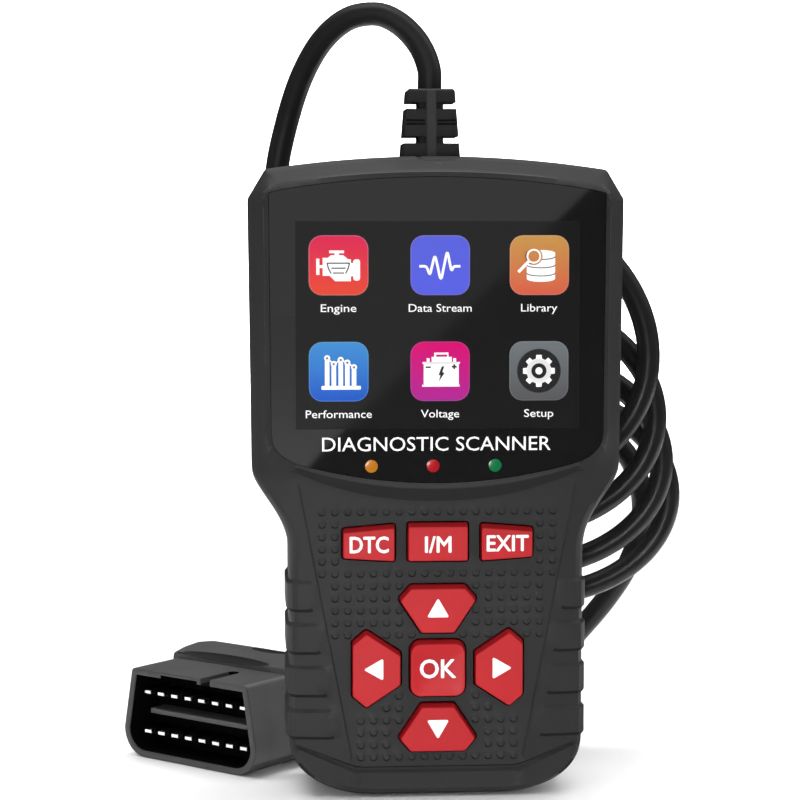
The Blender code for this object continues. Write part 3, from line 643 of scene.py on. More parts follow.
def pad_half(z):
    """Half width of the flat keypad panel."""
    return PANEL_HALF + (z - PANEL_HALF_Z) * PANEL_FLARE


def chin_z(x, which):
    """Height of the two creases above the chin: 0 is the upper one."""
    base, knee, slope = (start + more * which for start, more in zip(CHIN, CHIN_STEP))
    return base + np.maximum(0, np.abs(x) - knee) * slope


def dish_reach(x):
    """How far down from the top edge the shallow dish before the strain relief goes."""
    return DISH[1] * np.sqrt(np.maximum(0, 1 - ((x - RELIEF_X - 1.0) / DISH[0]) ** 2))


def front_level(x, z, d, rim_share):
    """Y of the front face at a place d inside the outline, without ribs and bumps."""
    head = np.interp(rim_share * RIM_SPAN, *RIM_PROFILE)
    head = head + DISH[2] * np.clip((dish_reach(x) - d) / 0.2, 0, 1) * (z > 120)
    outside = np.maximum(0, np.abs(x) - pad_half(z))
    grip = (PAD - PANEL_STEP * np.clip(outside / PANEL_EDGE, 0, 1)
            + 0.15 * np.maximum(0, outside - PANEL_EDGE))
    step = np.clip((chin_z(x, 0) - z) / (chin_z(x, 0) - chin_z(x, 1)), 0, 1)
    crease = np.interp(step, *CREASE_PROFILE)
    grip = grip + crease * (np.abs(x) < 29)
    radius = GRIP_ROUND[0] + GRIP_ROUND[1] * (1 - smoothstep(2.0, 16.0, z))
    reach = np.minimum(d, radius)
    rim = GRIP_ROUND_START - np.sqrt(np.maximum(0, radius ** 2 - (radius - reach) ** 2)) * 0.98
    rim = np.where(d > radius, -99.0, rim)
    grip = np.maximum(grip, rim)
    low, high = lip_bottom_z(x), lens_bottom_z(x)
    t = np.clip((z - low) / (high - low), 0, 1)
    fade = 1 - smoothstep(27.0, 33.5, np.abs(x))
    lip = np.interp(t, *LIP_PROFILE)
    soft = grip + (head - grip) * smoothstep(60.0, 71.0, z)
    within = lip * fade + soft * (1 - fade)
    y = np.where(z < low, grip * fade + soft * (1 - fade), within)
    return np.where(z >= high, np.where(np.abs(x) < 27, head, head * fade + soft * (1 - fade)), y)


def back_level(_x, _z, d, _rim_share):
    """Y of the back face at a place d inside the outline; it is asked like the front's."""
    reach = np.minimum(d, BACK_ROUND)
    rim = BACK - BACK_ROUND + np.sqrt(np.maximum(0, BACK_ROUND ** 2 - (BACK_ROUND - reach) ** 2))
    return np.minimum(rim, BACK)


class Sheet:
    """Points and lines that a constrained triangulation turns into one surface."""

    def __init__(self):
        self.points = []
        self.edges = []

    def line(self, points, closed=False):
        first, count = len(self.points), len(points)
        self.scatter(points)
        self.edges += [(first + i, first + i + 1) for i in range(count - 1)]
        if closed:
            self.edges.append((first + count - 1, first))

    def scatter(self, points):
        self.points += [(float(x), float(z)) for x, z in points]

    def triangles(self, outer, holes):
        """Triangulate and keep what lies inside the outer loop and outside the holes."""
        verts, _, faces, _, _, _ = geometry.delaunay_2d_cdt(
            [Vector(p) for p in self.points], self.edges, [], 0, 1e-4)
        places = np.array([tuple(v) for v in verts])
        faces = np.array([tuple(f) for f in faces if len(f) == 3])
        middle = places[faces].mean(axis=1)
        keep = inside(middle, outer)
        for hole in holes:
            keep &= ~inside(middle, hole)
        edge_a = places[faces[:, 1]] - places[faces[:, 0]]
        edge_b = places[faces[:, 2]] - places[faces[:, 0]]
        area = edge_a[:, 0] * edge_b[:, 1] - edge_a[:, 1] * edge_b[:, 0]
        keep &= np.abs(area) > 1e-6
        return places, faces[keep]


def inset_line(distance):
    """Line a distance inside the reader's outline, without the loops it would make in corners."""
    moved = np.array(offset(OUTLINE, -distance))
    true = segment_distance(moved, OUTLINE)
    return [tuple(p) for p, d in zip(moved, true) if d > distance - 0.04]


def bump_places():
    """Rows of small raised pads on the keypad panel, clear of the keys and creases."""
    made = []
    for row in range(BUMP_ROWS):
        z = BUMP_FIRST + BUMP_PITCH[1] * row
        half = pad_half(z) - 1.0
        if z < 14:
            half = min(half, 16.0)
        for column in range(-9, 10):
            x = BUMP_PITCH[0] * column
            if abs(x) < half and z < lip_bottom_z(x) - 1.2:
                made.append((x, z))
    places = np.array(made)
    clear = np.ones(len(places), bool)
    for outline in KEYS.values():
        clear &= ~inside(places, outline)
        clear &= segment_distance(places, outline) > 1.08
    return places[clear]


def front_lines(sheet, bumps):
    """Lines of the front's relief: lip, panel edges, chin creases, dish and raised pads."""
    for t in (0.0, 0.06, 0.35, 0.70, 0.76, 0.9):
        sheet.line([(x, lip_bottom_z(x) + t * (lens_bottom_z(x) - lip_bottom_z(x)))
                    for x in np.linspace(-29.5, 29.5, 60)])
    for side in (-1, 1):
        for edge in (0.0, PANEL_EDGE):
            sheet.line([(side * (pad_half(z) + edge), z) for z in np.linspace(8.6, 64.0, 40)])
    for which in CREASE_PROFILE[0]:
        sheet.line([(x, chin_z(x, which)) for x in np.linspace(-28.6, 28.6, 40)])
    top = np.array(sorted(p for p in OUTLINE if p[1] > 127))
    for inner in (0.0, 0.2):
        dish = RELIEF_X + 1.0 + DISH[0] * np.cos(np.radians(np.arange(15, 166, 10)))
        sheet.line([(x, np.interp(x, top[:, 0], top[:, 1]) - dish_reach(x) + inner) for x in dish])
    for count, radius in ((1, 0.0), (11, 0.56), (13, BUMP_RADIUS)):
        for k in range(count):
            a = math.tau * k / count + 0.3
            sheet.scatter(bumps + np.array((math.cos(a), math.sin(a))) * radius)


def shell_plan(front, bumps):
    """Triangulate one half of the housing, seen flat."""
    sheet = Sheet()
    sheet.line(OUTLINE, closed=True)
    for distance in FRONT_RINGS if front else BACK_RINGS:
        sheet.scatter(inset_line(distance))
    for line in rib_lines(2 if front else 3):
        sheet.line(line)
    if front:
        holes = [LENS] + [offset(outline, GAP) for outline in KEYS.values()]
        front_lines(sheet, bumps)
    else:
        holes = [circle(x, z, SCREW_HOLE, 24) for x, z in SCREW_PLACES]
    for hole in holes:
        sheet.line(hole, closed=True)
    grid_x, grid_z = np.meshgrid(np.arange(-38, 38.1, 1.9), np.arange(1, 131, 1.9))
    grid = np.stack([grid_x.ravel(), grid_z.ravel()], 1)
    keep = inside(grid, OUTLINE) & (segment_distance(grid, OUTLINE) > 4.6)
    for hole in holes:
        keep &= ~inside(grid, hole)
        keep &= segment_distance(grid, hole) > 0.8
    grid = grid[keep]
    if front:
        near = ((grid[:, None, :] - bumps[None, :, :]) ** 2).sum(2).min(1)
        grid = grid[near > 1.2 ** 2]
    sheet.scatter(grid)
    return sheet.triangles(OUTLINE, holes)


def shell_points(front, places, d, bumps):
    """Stand the flat places up: level of the face, lift of the ribs, height of the pads."""
    x, z = places[:, 0], places[:, 1]
    level = front_level if front else back_level
    rim_share = d / np.maximum(d + segment_distance(places, LENS), 1e-6)
    y = level(x, z, d, rim_share)
    small = 0.05
    side = 1.0 if front else -1.0
    nx = (level(x + small, z, d + small * -np.sign(x) * (d < 5), rim_share) - y) / small * side
    length = np.sqrt(nx ** 2 + 1.0)
    lift = RIB_HEIGHT * rib_mask(x, z, 2 if front else 3)
    on_rim = d < ON_RIM
    nx = np.where(on_rim, np.sign(x) * 0.85, nx / length)
    ny = np.where(on_rim, -side * 0.5, -side / length)
    px, py = x + nx * lift, y + ny * lift
    if front:
        apart = places[:, None, :] - bumps[None, :, :]
        nearest = (apart ** 2).sum(2).argmin(1)
        apart = apart[np.arange(len(places)), nearest]
        reach = np.hypot(apart[:, 0], apart[:, 1])
        low_side = 0.62 - 0.62 * apart[:, 1] / BUMP_RADIUS
        py = py - BUMP_HEIGHT * low_side * np.interp(reach, (0.0, BUMP_TOP, BUMP_RADIUS),
                                                     (1.0, 1.0, 0.0))
    return zip(px, py, z)


def shell_walls(bm, edges, base, front):
    """Carry the rim along Y to the parting line, with the ribs' ends, and turn it in there."""
    levels = FRONT_WALLS if front else BACK_WALLS
    owner = {v: base[v] for e in edges for v in e.verts}
    for number, wall_y in enumerate(levels + levels[-1:]):
        made = bmesh.ops.extrude_edge_only(bm, edges=edges)["geom"]
        edges = [g for g in made if isinstance(g, bmesh.types.BMEdge) and g.is_boundary]
        fresh = {}
        for v in made:
            if isinstance(v, bmesh.types.BMVert):
                key = min((e.other_vert(v) for e in v.link_edges if e.other_vert(v) in owner),
                          key=lambda o, v=v: (o.co - v.co).length)
                fresh[v] = owner[key]
        for v, (bx, bz, _) in fresh.items():
            if number == len(levels):
                inward = Vector((-bx, 66 - bz)).normalized()
                v.co = (bx + inward.x * SEAM_REACH, wall_y, bz + inward.y * SEAM_REACH)
                continue
            raised = rib_mask(np.array([math.copysign(60.0, bx)]), np.array([bz]),
                              2 if front else 3)
            v.co = (bx + math.copysign(RIB_HEIGHT * float(raised[0]), bx), wall_y, bz)
        owner = fresh


def paint_front_shade_and_highlight(bm):
    """Paint shade on the front's down-facing flanks and on its lip, and a painted highlight on its
    edge lines.
    """
    middles = np.array([face.calc_center_median()[:] for face in bm.faces])[:, ::2]
    out, window = segment_distance(middles, OUTLINE), segment_distance(middles, LENS)
    on_step = np.abs(out / np.maximum(out + window, 1e-6) * RIM_SPAN - RIM_STEP) < 0.1
    for face, step in zip(bm.faces, on_step):
        spot = face.calc_center_median()
        across = abs(spot.x)
        bottom = lip_bottom_z(spot.x)
        rise = (spot.z - bottom) / (lens_bottom_z(spot.x) - bottom)
        flank = face.normal.z < -0.34 and face.normal.y < -0.1
        # Down-facing flanks of the front get painted shade: a darker, duller copy of the shell
        # plastic.
        if flank and across < 31 and 4 < spot.z < bottom - 0.3:
            face.material_index = PAINTED_SHADE_FLANK
        # The sloped lip under the window gets painted shade.
        if across < 29 and 0.05 < rise < 0.71:
            face.material_index = PAINTED_SHADE_LIP
        # The band above the lip and the line at the rim's step get a painted highlight.
        if across < 29 and 0.76 < rise < 1 or step and spot.z > 72:
            face.material_index = PAINTED_HIGHLIGHT_EDGE


def shell_surface(front):
    """One half of the housing as a skin with all of its relief, walls and openings."""
    bumps = bump_places() if front else None
    places, faces = shell_plan(front, bumps)
    d = segment_distance(places, OUTLINE)
    bm = bmesh.new()
    verts = [bm.verts.new(p) for p in shell_points(front, places, d, bumps)]
    for face in faces:
        order = [verts[k] for k in face]
        bm.faces.new(order if front else order[::-1])
    loose = [v for v in bm.verts if not v.link_faces]
    base = {v: (*places[k], d[k]) for k, v in enumerate(verts) if v.link_faces}
    bmesh.ops.delete(bm, geom=loose, context="VERTS")

    border = [e for e in bm.edges if e.is_boundary]
    rim = [e for e in border if all(base[v][2] < ON_RIM for v in e.verts)]
    openings = [e for e in border if any(base[v][2] >= ON_RIM for v in e.verts)]
    shell_walls(bm, rim, base, front)
    for g in bmesh.ops.extrude_edge_only(bm, edges=openings)["geom"]:
        if isinstance(g, bmesh.types.BMVert):
            g.co.y = OPENING_DEPTH[0 if front else 1]
    tidy_normals(bm)
    if front:
        paint_front_shade_and_highlight(bm)
    return bm


# ---------------------------------------------------------------- camera, stage and light

def make_camera():
    """Camera a little to the left of the reader and slightly above its middle."""
    back = Vector((math.sin(CAMERA_AZIMUTH) * math.cos(CAMERA_ELEVATION),
                   -math.cos(CAMERA_AZIMUTH) * math.cos(CAMERA_ELEVATION),
                   math.sin(CAMERA_ELEVATION)))
    data = bpy.data.cameras.new("camera")
    data.lens = CAMERA_LENS
    data.sensor_width = 36.0
    data.clip_start = 0.01
    camera = add_object("camera", data)
    camera.location = (Vector(LOOK_AT) + back * CAMERA_DISTANCE) * MM
    camera.rotation_euler = (-back).to_track_quat("-Z", "Y").to_euler()
    bpy.context.scene.camera = camera


def make_stage():
    """Pale sweep of floor and wall, with a bright even surround."""
    bm = bmesh.new()
    profile = [(FLOOR_NEAR, 0), (WALL_Y - WALL_BEND, 0)]
    for degrees in range(10, 91, 10):
        a = math.radians(degrees)
        profile.append((WALL_Y - WALL_BEND + WALL_BEND * math.sin(a),
                        WALL_BEND - WALL_BEND * math.cos(a)))
    profile.append((WALL_Y, WALL_TOP))
    loops = [[bm.verts.new((x, y, z - 0.02)) for y, z in profile]
             for x in (-FLOOR_HALF, FLOOR_HALF)]
    for i in range(len(profile) - 1):
        bm.faces.new((loops[0][i], loops[1][i], loops[1][i + 1], loops[0][i + 1]))
    paper = surface("floor_paper", (0.8, 0.8, 0.8, 1), 0.9, spread=0.01, bump=0.0)
    mesh = metric_mesh("floor", bm, [paper])
    mesh.shade_smooth()
    add_object("floor", mesh)

    world = bpy.data.worlds.new("studio")
    world.use_nodes = True
    world.node_tree.nodes["Background"].inputs["Color"].default_value = (1, 1, 1, 1)
    world.node_tree.nodes["Background"].inputs["Strength"].default_value = SURROUND
    bpy.context.scene.world = world


def make_lights():
    """Area lights that the camera can't see."""
    for name, place, target, size, power, spread in LIGHTS:
        data = bpy.data.lights.new(name, "AREA")
        data.shape = "RECTANGLE"
        data.size, data.size_y = size[0] * MM, size[1] * MM
        data.energy = power
        data.spread = math.radians(spread)
        item = add_object(name, data)
        item.location = Vector(place) * MM
        item.visible_camera = False
        item.rotation_euler = (Vector(target) - Vector(place)).to_track_quat("-Z", "Y").to_euler()


def make_flags():
    """Black cards that only gloss sees."""
    black = surface("flag_black", (0.004, 0.004, 0.004, 1), 0.9, spread=0.1, bump=0.0, specular=0.0)
    for number, corners in enumerate(FLAGS):
        bm = bmesh.new()
        bm.faces.new([bm.verts.new(corner) for corner in corners])
        flag = add_object(f"flag_{number}", metric_mesh(f"flag_{number}", bm, [black]))
        for way in ("camera", "diffuse", "shadow", "transmission", "volume_scatter"):
            setattr(flag, f"visible_{way}", False)


make_camera()
make_stage()
make_lights()
make_flags()
bpy.context.scene.view_settings.view_transform = "Standard"

MOULDED = {"spread": 0.06, "grain": 5200, "mottle": 60}
RUBBER = {"spread": 0.08, "grain": 3600, "bump": 0.015, "specular": 0.2}
PLUG_LOOK = {"spread": 0.08, "grain": 4200}
LIT = {"spread": 0.04, "bump": 0.0, "emission": 0.15}
M_SHELL = surface("shell_plastic", (0.0272, 0.0272, 0.0277), 0.48, bump=0.018, specular=0.16,
                  **MOULDED)
# Painted shade: darker, duller copy of the shell plastic for down-facing flanks and the grip's
# hollows.
M_PAINTED_SHADE = surface("shell_painted_shade", (0.0145, 0.0145, 0.0148), 0.7, bump=0.018, specular=0.06,
                   **MOULDED)
# Painted highlight: lighter, glossier plastic for the band above the lip and the rim's step line.
M_EDGE_PAINTED_HIGHLIGHT = surface("shell_edge_painted_highlight", (0.042, 0.042, 0.0425), 0.4, bump=0.01, specular=0.2, **MOULDED)
# Painted shade: darker plastic for the sloped lip under the window.
M_LIP_PAINTED_SHADE = surface("shell_lip_painted_shade", (0.0205, 0.0205, 0.0208), 0.6, bump=0.018, specular=0.08, **MOULDED)
M_LENS = surface("window_gloss", (0.0088, 0.0088, 0.0092), 0.035, specular=0.6, spread=0.03,
                 bump=0.0, rough_spread=0.005)
M_KEY = surface("key_red", srgb(178, 19, 28), 0.42, spread=0.05, grain=3500, bump=0.01,
                specular=0.3)
# Painted shade: darker red for the keys' sides and up-facing bevels.
M_KEY_PAINTED_SHADE = surface("key_red_painted_shade", srgb(130, 4, 11), 0.55, spread=0.08, grain=3500, bump=0.01,
                     specular=0.15)
M_SCREEN = surface("screen_dark", (0.0125, 0.0125, 0.0128), 0.05, spread=0.03, bump=0.0,
                   rough_spread=0.01, specular=0.22)
M_GLYPH = surface("screen_white", srgb(235, 235, 235), 0.3, spread=0.02, bump=0.0, emission=0.25)
M_LAMPS = {"amber": surface("lamp_amber", srgb(170, 104, 6), 0.2, **LIT),
           "red": surface("lamp_red", srgb(156, 6, 16), 0.2, **LIT),
           "green": surface("lamp_green", srgb(3, 102, 56), 0.2, **LIT)}
M_INK = surface("legend_white", srgb(246, 246, 246), 0.4, spread=0.02, bump=0.0)
M_CORD = surface("cord_black", (0.0135, 0.0135, 0.0138), 0.34, spread=0.15, grain=3000,
                 bump=0.012, specular=0.32)
M_RELIEF = surface("relief_rubber", (0.019, 0.019, 0.0194), 0.5, **RUBBER)
# Painted highlight: lighter rubber along the raised spines.
M_SPINE_PAINTED_HIGHLIGHT = surface("relief_spine_painted_highlight", (0.036, 0.036, 0.0365), 0.5, **RUBBER)
M_PLUG = surface("plug_plastic", (0.054, 0.054, 0.055), 0.5, bump=0.015, specular=0.3, **PLUG_LOOK)
# Painted light: lighter copy of the plug plastic for its flanks.
M_PLUG_PAINTED_LIGHT = surface("plug_side_painted_light", (0.1, 0.1, 0.101), 0.5, bump=0.015, specular=0.3, **PLUG_LOOK)
# Painted shade: near black for the plug's inner walls, slot floor and pin block.
M_PLUG_PAINTED_SHADE = surface("plug_inside_painted_shade", (0.0016, 0.0016, 0.0017), 0.6, spread=0.1, grain=4200,
                      bump=0.01, specular=0.04)
M_PLUG_RIB = surface("plug_rib", (0.075, 0.075, 0.076), 0.5, bump=0.01, specular=0.2, **PLUG_LOOK)
M_GRIP = surface("plug_grip", (0.052, 0.052, 0.053), 0.55, spread=0.1, grain=3000, bump=0.03,
                 specular=0.2)
M_PIN = surface("pin_metal", (0.9, 0.89, 0.86, 1), 0.22, spread=0.04, metallic=1.0, bump=0.0)
M_STEEL = surface("screw_steel", (0.4, 0.4, 0.41, 1), 0.32, spread=0.1, metallic=1.0, bump=0.01)


# ---------------------------------------------------------------- cord

def coil_points():
    """Middle line of the hanging turns, from behind the head to where the tail starts."""
    made = []
    count = round((COIL_END - COIL_START) * COIL_STEPS)
    low, extra, fade = COIL_HALF_HEIGHT
    for k in range(count + 1):
        turn = COIL_START + (COIL_END - COIL_START) * k / count
        angle = COIL_FIRST_ANGLE + math.tau * turn
        half_height = low + extra * math.exp(fade * turn)
        made.append((COIL_X[0] + COIL_X[1] * turn + COIL_HALF_WIDTH * math.sin(angle),
                     COIL_FIRST_Y + COIL_PITCH * turn,
                     COIL_Z[0] + COIL_Z[1] * COIL_Z[2] ** turn + half_height * math.cos(angle)))
    return made


def make_cord():
    """The whole lead as one round cord on one smooth curve."""
    route = [Vector(p) for p in ARCH_ROUTE + tuple(coil_points()) + TAIL_ROUTE]
    curve = bpy.data.curves.new("cable", "CURVE")
    curve.dimensions = "3D"
    curve.bevel_depth = CORD_DIAMETER / 2 * MM
    curve.bevel_resolution = 5
    curve.resolution_u = 6
    curve.use_fill_caps = True
    spline = curve.splines.new("BEZIER")
    spline.bezier_points.add(len(route) - 1)
    padded = [route[0] * 2 - route[1]] + route + [route[-1] * 2 - route[-2]]
    for i, point in enumerate(spline.bezier_points):
        before, here, after = padded[i:i + 3]
        way = (after - before).normalized()
        point.co = here * MM
        point.handle_left = (here - way * (here - before).length / 3) * MM
        point.handle_right = (here + way * (after - here).length / 3) * MM
    curve.materials.append(M_CORD)
    cable = add_object("cable", curve)
    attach(cable, ROOT)
    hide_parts("cable_arch", "cable_coil", "cable_tail")
    length = 0.0
    for i in range(len(route) - 1):
        a, b = spline.bezier_points[i], spline.bezier_points[i + 1]
        steps = geometry.interpolate_bezier(a.co, a.handle_right, b.handle_left, b.co, 8)
        length += sum((q - p).length for p, q in zip(steps, steps[1:]))
    return cable, length


cable, cable_length = make_cord()


# ---------------------------------------------------------------- housing

# The front shell's extra materials are painted shade on flanks and lip and a painted highlight on
# edge lines.
finish_piece("housing_front", shell_surface(True), [M_SHELL, M_PAINTED_SHADE, M_LIP_PAINTED_SHADE, M_EDGE_PAINTED_HIGHLIGHT],
             replaces=["front_shell"], sharp=24)
finish_piece("housing_back", shell_surface(False), M_SHELL, replaces=["back_shell"],
             sharp=24)


def make_window():
    """Gloss window plate with a fine bevelled edge."""
    bm = bmesh.new()
    edge = offset(LENS, -0.03)
    face = offset(LENS, -0.12)
    loft(bm, [at_level(edge, LENS_BACK), at_level(edge, LENS_FACE + 0.06),
              at_level(face, LENS_FACE)])
    tidy_normals(bm)
    finish_piece("window", bm, M_LENS, replaces=["display_lens"])


make_window()


def make_keys():
    """Red keys: straight sides and a bevel that is wide where an edge faces up, both in painted
    shade, and a flat or dished top.
    """
    for name, outline in KEYS.items():
        middle = sum((Vector(p) for p in outline), Vector((0, 0))) / len(outline)
        bm = bmesh.new()

        def bevel(more):
            return lambda n: -(KEY_BEVEL + KEY_BEVEL_UP * max(0.0, n.y) + more)

        top = key_ring(name, bevel(0.0), -0.2)
        crown = key_ring(name, bevel(0.16), -0.3)
        # Sides and bevel take the painted shade.
        loft(bm, [at_level(outline, KEY_BACK), at_level(outline, KEY_SIDE),
                  at_level(top, KEY_EDGE)], cap_end=False, material=1)
        rings = [at_level(top, KEY_EDGE), at_level(crown, KEY_FRONT)]
        if name == "key_ok":
            inner = key_ring(name, bevel(1.0), -0.5)
            rings.append(at_level(key_ring(name, bevel(0.75), -0.4), KEY_FRONT + 0.02))
            rings.append(at_level(inner, KEY_EDGE))
            for share in (0.85, 0.6, 0.3, 0.05):
                deep = KEY_EDGE + OK_DISH * (1 - share ** 2)
                rings.append([(middle.x + (x - middle.x) * share, deep,
                               middle.y + (z - middle.y) * share) for x, z in inner])
        loft(bm, rings, cap_start=False)
        bmesh.ops.remove_doubles(bm, verts=bm.verts, dist=0.002)
        tidy_normals(bm)
        finish_piece(f"{name}_cap", bm, [M_KEY, M_KEY_PAINTED_SHADE], body=name, replaces=[name],
                     origin=(middle.x, KEY_FRONT, middle.y), sharp=28)


make_keys()


# ---------------------------------------------------------------- strain relief

def soften_edges(bm, width, degrees=35.0, segments=2):
    """Small rounding on every edge sharper than an angle."""
    bmesh.ops.remove_doubles(bm, verts=bm.verts, dist=0.003)
    tidy_normals(bm)
    hard = [e for e in bm.edges if len(e.link_faces) == 2
            and e.calc_face_angle(0.0) > math.radians(degrees)]
    bmesh.ops.bevel(bm, geom=hard, offset=width, segments=segments, profile=0.5,
                    affect="EDGES", clamp_overlap=True)


def make_relief():
    """Tapered strain relief: open side notches, closed slits front and back, raised spines with a
    painted highlight.
    """
    def half(z, axis):
        return RELIEF_HALF[axis] - (z - RELIEF_FOOT) * RELIEF_TAPER[axis]

    def ring(z, kind):
        hx, hy, pocket, edge, spine = half(z, 0), half(z, 1), 0.0, 0.3, 1.3
        if kind == "core":
            hx, hy = 2.56, hy - 0.9
        elif kind == "slit":
            pocket = 0.9
        elif kind == "tip":
            hx, hy = hx - 0.35, hy - 0.35
        front = [(-hx, edge - hy), (edge - hx, -hy), (edge - hx, pocket - hy),
                 (-spine, pocket - hy), (-spine, -hy), (spine, -hy), (spine, pocket - hy),
                 (hx - edge, pocket - hy), (hx - edge, -hy), (hx, edge - hy)]
        return [(RELIEF_X + x, y, z) for x, y in front + [(-x, -y) for x, y in front]]

    bm = bmesh.new()
    loft(bm, [ring(z, kind) for z, kind in RELIEF_LEVELS])
    soften_edges(bm, 0.06)
    for side in (-1, 1):
        rings = []
        for z, narrow in ((131.2, 0.0), (144.6, 0.0), (145.2, 0.3)):
            near, far = side * (half(z, 1) + 0.22 - narrow), side * (half(z, 1) - 1.6)
            hx = 1.05 - narrow
            rings.append([(RELIEF_X - hx, far, z), (RELIEF_X - hx, near - side * 0.25, z),
                          (RELIEF_X - hx + 0.25, near, z), (RELIEF_X + hx - 0.25, near, z),
                          (RELIEF_X + hx, near - side * 0.25, z), (RELIEF_X + hx, far, z)])
        # Spines take the painted highlight.
        loft(bm, rings, material=1)
    tidy_normals(bm)
    finish_piece("relief_boot", bm, [M_RELIEF, M_SPINE_PAINTED_HIGHLIGHT], replaces=["strain_relief"],
                 origin=(RELIEF_X, 0, 138))


make_relief()


# ---------------------------------------------------------------- plug

def plug_section():
    """Outline of the plug across its axis: wide rounded bottom, narrower flat top."""
    right = [(0.0, 0.0)]
    for k in range(9):
        a = math.radians(90 * k / 8)
        right.append((13.2 + 6.05 * math.sin(a), 6.2 * (1 - math.cos(a))))
    right += [(16.92, 19.0), (16.75, 19.4), (16.4, 19.7), (15.9, PLUG_HEIGHT)]
    return right + [(-x, z) for x, z in right[:0:-1]]


PLUG_SECTION = plug_section()


def plug_ring(y, inset, key=0.0, slot=0.0, slot_half=SLOT[1]):
    """Section with room along its top for the keyway inside and the open slot outside."""
    outline = offset(PLUG_SECTION, -inset) if inset else list(PLUG_SECTION)
    top = PLUG_HEIGHT - inset
    first = max(i for i, (x, z) in enumerate(outline) if x > 5.5 and z > 15) + 1
    low, high = SLOT[0] - slot_half, SLOT[0] + slot_half
    extra = [(high, top), (high, top - slot), (low, top - slot), (low, top),
             (KEYWAY[1], top), (KEYWAY[1], top + key), (KEYWAY[0], top + key), (KEYWAY[0], top)]
    outline[first:first] = extra
    return [(x, y, z) for x, z in outline]


def turn_plug(bm):
    """Put a bmesh from the plug's own frame into the reader's."""
    place = Matrix.Translation((*PLUG_PLACE, 0)) @ Matrix.Rotation(PLUG_TURN, 4, "Z")
    bmesh.ops.transform(bm, matrix=place, verts=bm.verts)


def cuboid(bm, low, high, c=0.0, material=0):
    """Box between two corners, its front end tapered by c."""
    (x0, y0, z0), (x1, y1, z1) = low, high
    rings = [[(x0 + c, y0, z0 + c), (x1 - c, y0, z0 + c), (x1 - c, y0, z1 - c),
              (x0 + c, y0, z1 - c)]]
    if c:
        rings.append([(x0, y0 + c, z0), (x1, y0 + c, z0), (x1, y0 + c, z1), (x0, y0 + c, z1)])
    rings.append([(x0, y1, z0), (x1, y1, z0), (x1, y1, z1), (x0, y1, z1)])
    loft(bm, rings, material=material)


def finish_plug_piece(name, bm, materials, replaces, sharp=32.0):
    """Turn a bmesh in the plug's own frame into a piece."""
    turn_plug(bm)
    finish_piece(name, bm, materials, replaces=replaces, sharp=sharp,
                 origin=(PLUG_PLACE[0], PLUG_PLACE[1], 10.0))


